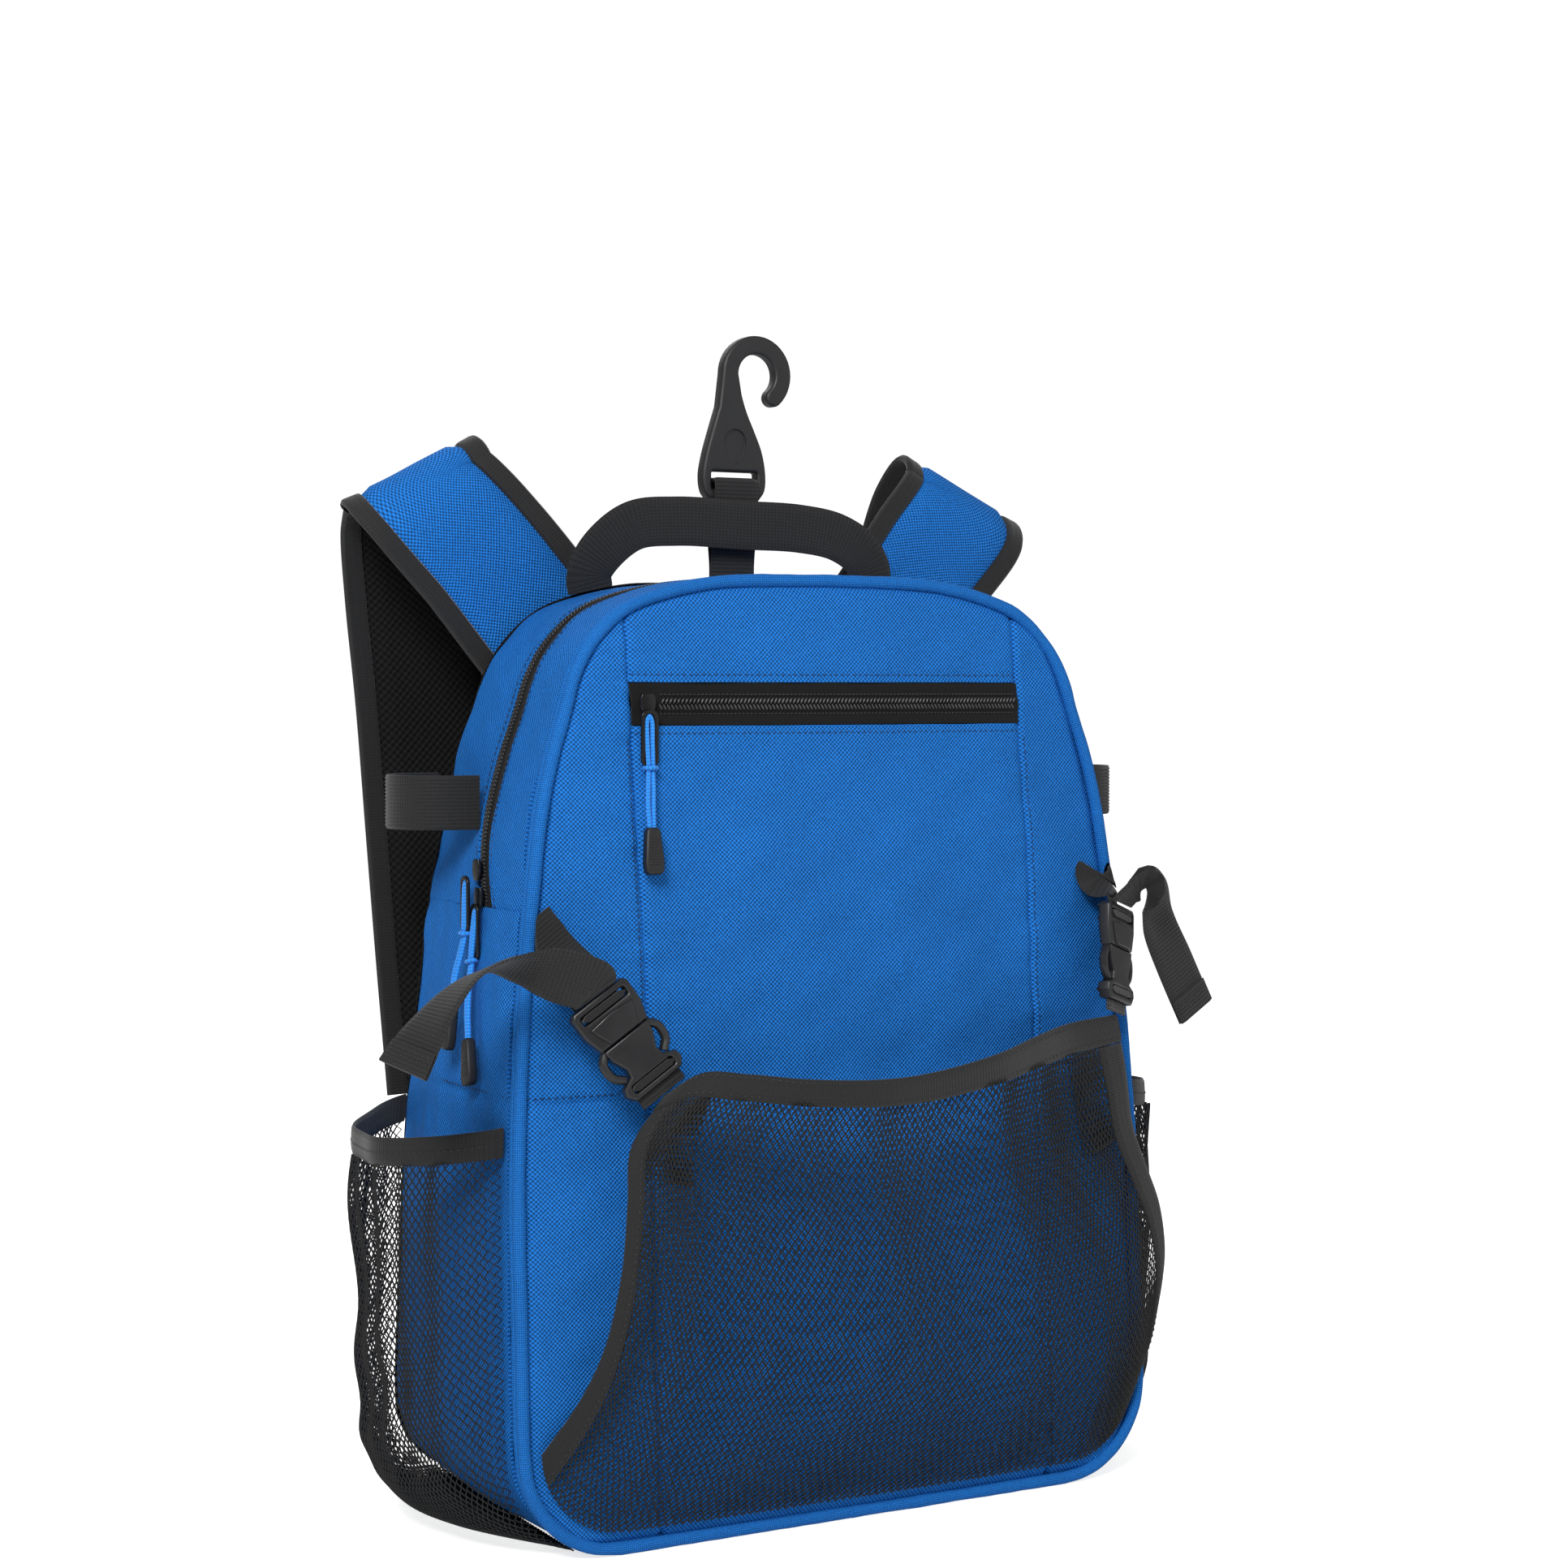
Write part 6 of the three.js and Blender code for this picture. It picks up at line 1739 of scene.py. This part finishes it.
def build_shoulder_straps():
    for side, word in ((-1, "left"), (1, "right")):
        flip = np.array((side, 1.0, 1.0))
        stations = []
        for across, behind, up, lean in STRAP_ROWS:
            seat = float(back_face(0.0, min(up, BAG_HEIGHT * 0.9))[1])
            at = np.array((across, seat + SEAM_GAP + PAD / 2 + 1 + behind, up)) * flip
            stations.append((at, np.array(lean) * flip))
        pad = band(stations, PAD_WIDTH + PAD_SPREAD, PAD, 150, crown=PAD_CROWN)
        pad_piece = piece(f"strap_pad_cloth_{word}", pad, "strap_cloth", f"strap_pad_{word}",
                          materials=["strap_cloth", "back_padding"])
        columns = len(band_profile(PAD_WIDTH + PAD_SPREAD, PAD, crown=PAD_CROWN)) // 2
        for polygon in pad_piece.data.polygons:
            low_half = polygon.index % (2 * columns) >= columns
            polygon.material_index = int(low_half == (side < 0))
        shift = (PAD_WIDTH + PAD_BINDING_WIDTH) / 2 + 2 * SEAM_GAP
        for edge, sign in (("inner", -1), ("outer", 1)):
            tape = band(stations, PAD_BINDING_WIDTH, PAD_BINDING, 150, shift=sign * shift)
            piece(f"strap_binding_tape_{edge}_{word}", tape, "binding_tape", f"strap_binding_{edge}_{word}")
        end, before = stations[-1][0], stations[-2][0]
        along = unit(end - before)
        across_end = np.array((1.0, 0.0, 0.0)) * flip
        half = ADJUSTER_LENGTH / 2
        slots = [shifted(rounded_rectangle(WEBBING_WIDTH + 1, 4, 1), 0, half / 2 * k) for k in (-1, 1)]
        ladder = plate(rounded_rectangle(BUCKLE_WIDTH, ADJUSTER_LENGTH, 3), 4, 1.1, slots)
        grip = moved(plate(rounded_rectangle(BUCKLE_WIDTH, 2.6, 1.2), 2.0, 0.8), (0, half - 1.5, 2.2))
        centre = end + along * (half + SEAM_GAP)
        buckle = placed(joined([ladder, grip]), centre, along, across_end)
        piece(f"strap_ladder_{word}", buckle, "buckle_plastic", f"strap_adjuster_{word}", sharp=30)
        seat = lambda x, z: back_face(x, z, SEAM_GAP + WEBBING / 2 + 0.8)
        start = end + along * (ADJUSTER_LENGTH + 1.2)
        leaning = np.array((1, 0, 0.15)) * flip
        webbing = [
            (start, across_end),
            (start + along * 8, across_end),
            ((seat(134.0, 110.0) + (0, 5, 0)) * flip, leaning),
            (seat(140.0, 60.0) * flip, leaning),
            (seat(142.0, 30.0) * flip, leaning),
        ]
        piece(f"strap_webbing_tape_{word}", band(webbing, WEBBING_WIDTH, WEBBING, 70), "webbing",
              f"strap_webbing_{word}")


def build_stitches():
    length = sizes().stitch_pitch / MM * 0.72
    for thread, slot, size in (
        ("blue_thread", "blue_cloth", (length, 0.85, 0.7)),
        ("black_thread", "binding_tape", (1.7, 0.7, 0.55)),
    ):
        beads(f"{thread}_stitches", STITCH_ROWS[thread], size, thread, slot)


# The add-on: settings, one operator for each group of pieces, and a panel
class BagSizes(bpy.types.PropertyGroup):
    """Sizes of the bag's fine parts"""
    # Half as coarse again as the real cloth, whose 1.4 mm weave is too fine to show in the render
    weave_pitch: FloatProperty(
        name="Weave pitch", description="Distance from one light dot of the weave to the next in its row",
        default=2.1 * MM, unit="LENGTH", precision=5)
    net_cell_width: FloatProperty(
        name="Net cell width", description="Width of one opening of the net", default=3.3 * MM, unit="LENGTH",
        precision=5)
    net_cell_height: FloatProperty(
        name="Net cell height", description="Height of one opening of the net", default=5.2 * MM,
        unit="LENGTH", precision=5)
    net_strand: FloatProperty(
        name="Net strand", description="Thickness of the net's thread", default=0.86 * MM, unit="LENGTH",
        precision=5)
    stitch_pitch: FloatProperty(
        name="Stitch pitch", description="Distance from one stitch to the next", default=3.2 * MM,
        unit="LENGTH", precision=5)
    wrinkle_depth: FloatProperty(
        name="Wrinkle depth", description="How far the cloth's soft waves stand out", default=1.3 * MM,
        unit="LENGTH", precision=5)


class BagColours(bpy.types.PropertyGroup):
    """Colours of the bag's materials"""
    cloth: FloatVectorProperty(
        name="Cloth", description="Blue polyester cloth", default=linear("#1966B4")[:3], subtype="COLOR")
    webbing: FloatVectorProperty(
        name="Webbing", description="Black webbing, elastic and binding", default=linear("#171718")[:3],
        subtype="COLOR")
    plastic: FloatVectorProperty(
        name="Plastic", description="Hook and buckles", default=linear("#1F1F21")[:3], subtype="COLOR")
    cord: FloatVectorProperty(
        name="Cord", description="Cords of the zip pulls", default=linear("#1E82DC")[:3], subtype="COLOR")


def operator(name, label, doc, work):
    """An operator class that builds one group of pieces."""
    def execute(self, context):
        work()
        return {"FINISHED"}

    return type(f"BAG_OT_{name}", (bpy.types.Operator,), {
        "bl_idname": f"bag.{name}", "bl_label": label, "__doc__": doc, "execute": execute,
    })


OPERATORS = [
    operator("stage", "Stage", "Builds the camera, floor and lights", build_stage),
    operator("pull_cords", "Pull cords", "Builds the doubled cords of the zip pulls", build_pull_cords),
    operator("front", "Front panels", "Builds the front's sewn cloth panels", build_front),
    operator("piping", "Piping", "Builds the two round ridges along the front seam", build_piping),
    operator("gusset", "Gusset", "Builds the gusset's strips, sides and base", build_gusset),
    operator("back", "Back panel", "Builds the padded back", build_back),
    operator("zips", "Zips", "Builds the zips' tapes and coils", build_zips),
    operator("zip_pulls", "Zip pulls", "Builds the sliders and rings", build_zip_pulls),
    operator("buckles", "Buckles", "Builds the buckles with their straps", build_buckles),
    operator("front_net", "Front net", "Builds the front net with its bindings", build_front_net),
    operator("side_pockets", "Side pockets", "Builds the side nets with their rims", build_side_pockets),
    operator("bat_loops", "Loops", "Builds the elastic loops", build_bat_loops),
    operator("handle", "Handle", "Builds the webbing handle", build_handle),
    operator("hook", "Hook", "Builds the hook and its webbing tab", build_hook),
    operator("shoulder_straps", "Shoulder straps", "Builds the padded straps", build_shoulder_straps),
    operator("stitches", "Stitches", "Builds every row of stitches", build_stitches),
]


class BAG_PT_panel(bpy.types.Panel):
    """Lists the bag's settings and its operators"""
    bl_label = "Bat backpack"
    bl_idname = "BAG_PT_panel"
    bl_space_type = "VIEW_3D"
    bl_region_type = "UI"
    bl_category = "Bag"

    def draw(self, context):
        for settings in (context.scene.bag_sizes, context.scene.bag_colours):
            for key in type(settings).__annotations__:
                self.layout.prop(settings, key)
        for item in OPERATORS:
            self.layout.operator(item.bl_idname)


CLASSES = [BagSizes, BagColours, *OPERATORS, BAG_PT_panel]


def register():
    for item in CLASSES:
        bpy.utils.register_class(item)
    bpy.types.Scene.bag_sizes = PointerProperty(type=BagSizes)
    bpy.types.Scene.bag_colours = PointerProperty(type=BagColours)


def unregister():
    del bpy.types.Scene.bag_colours
    del bpy.types.Scene.bag_sizes
    for item in reversed(CLASSES):
        bpy.utils.unregister_class(item)


def main():
    register()
    for item in OPERATORS:
        group, name = item.bl_idname.split(".")
        getattr(getattr(bpy.ops, group), name)()
    {"cad": CAD_BOX, "visual": [list(corner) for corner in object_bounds()]}


if __name__ == "__main__":
    main()
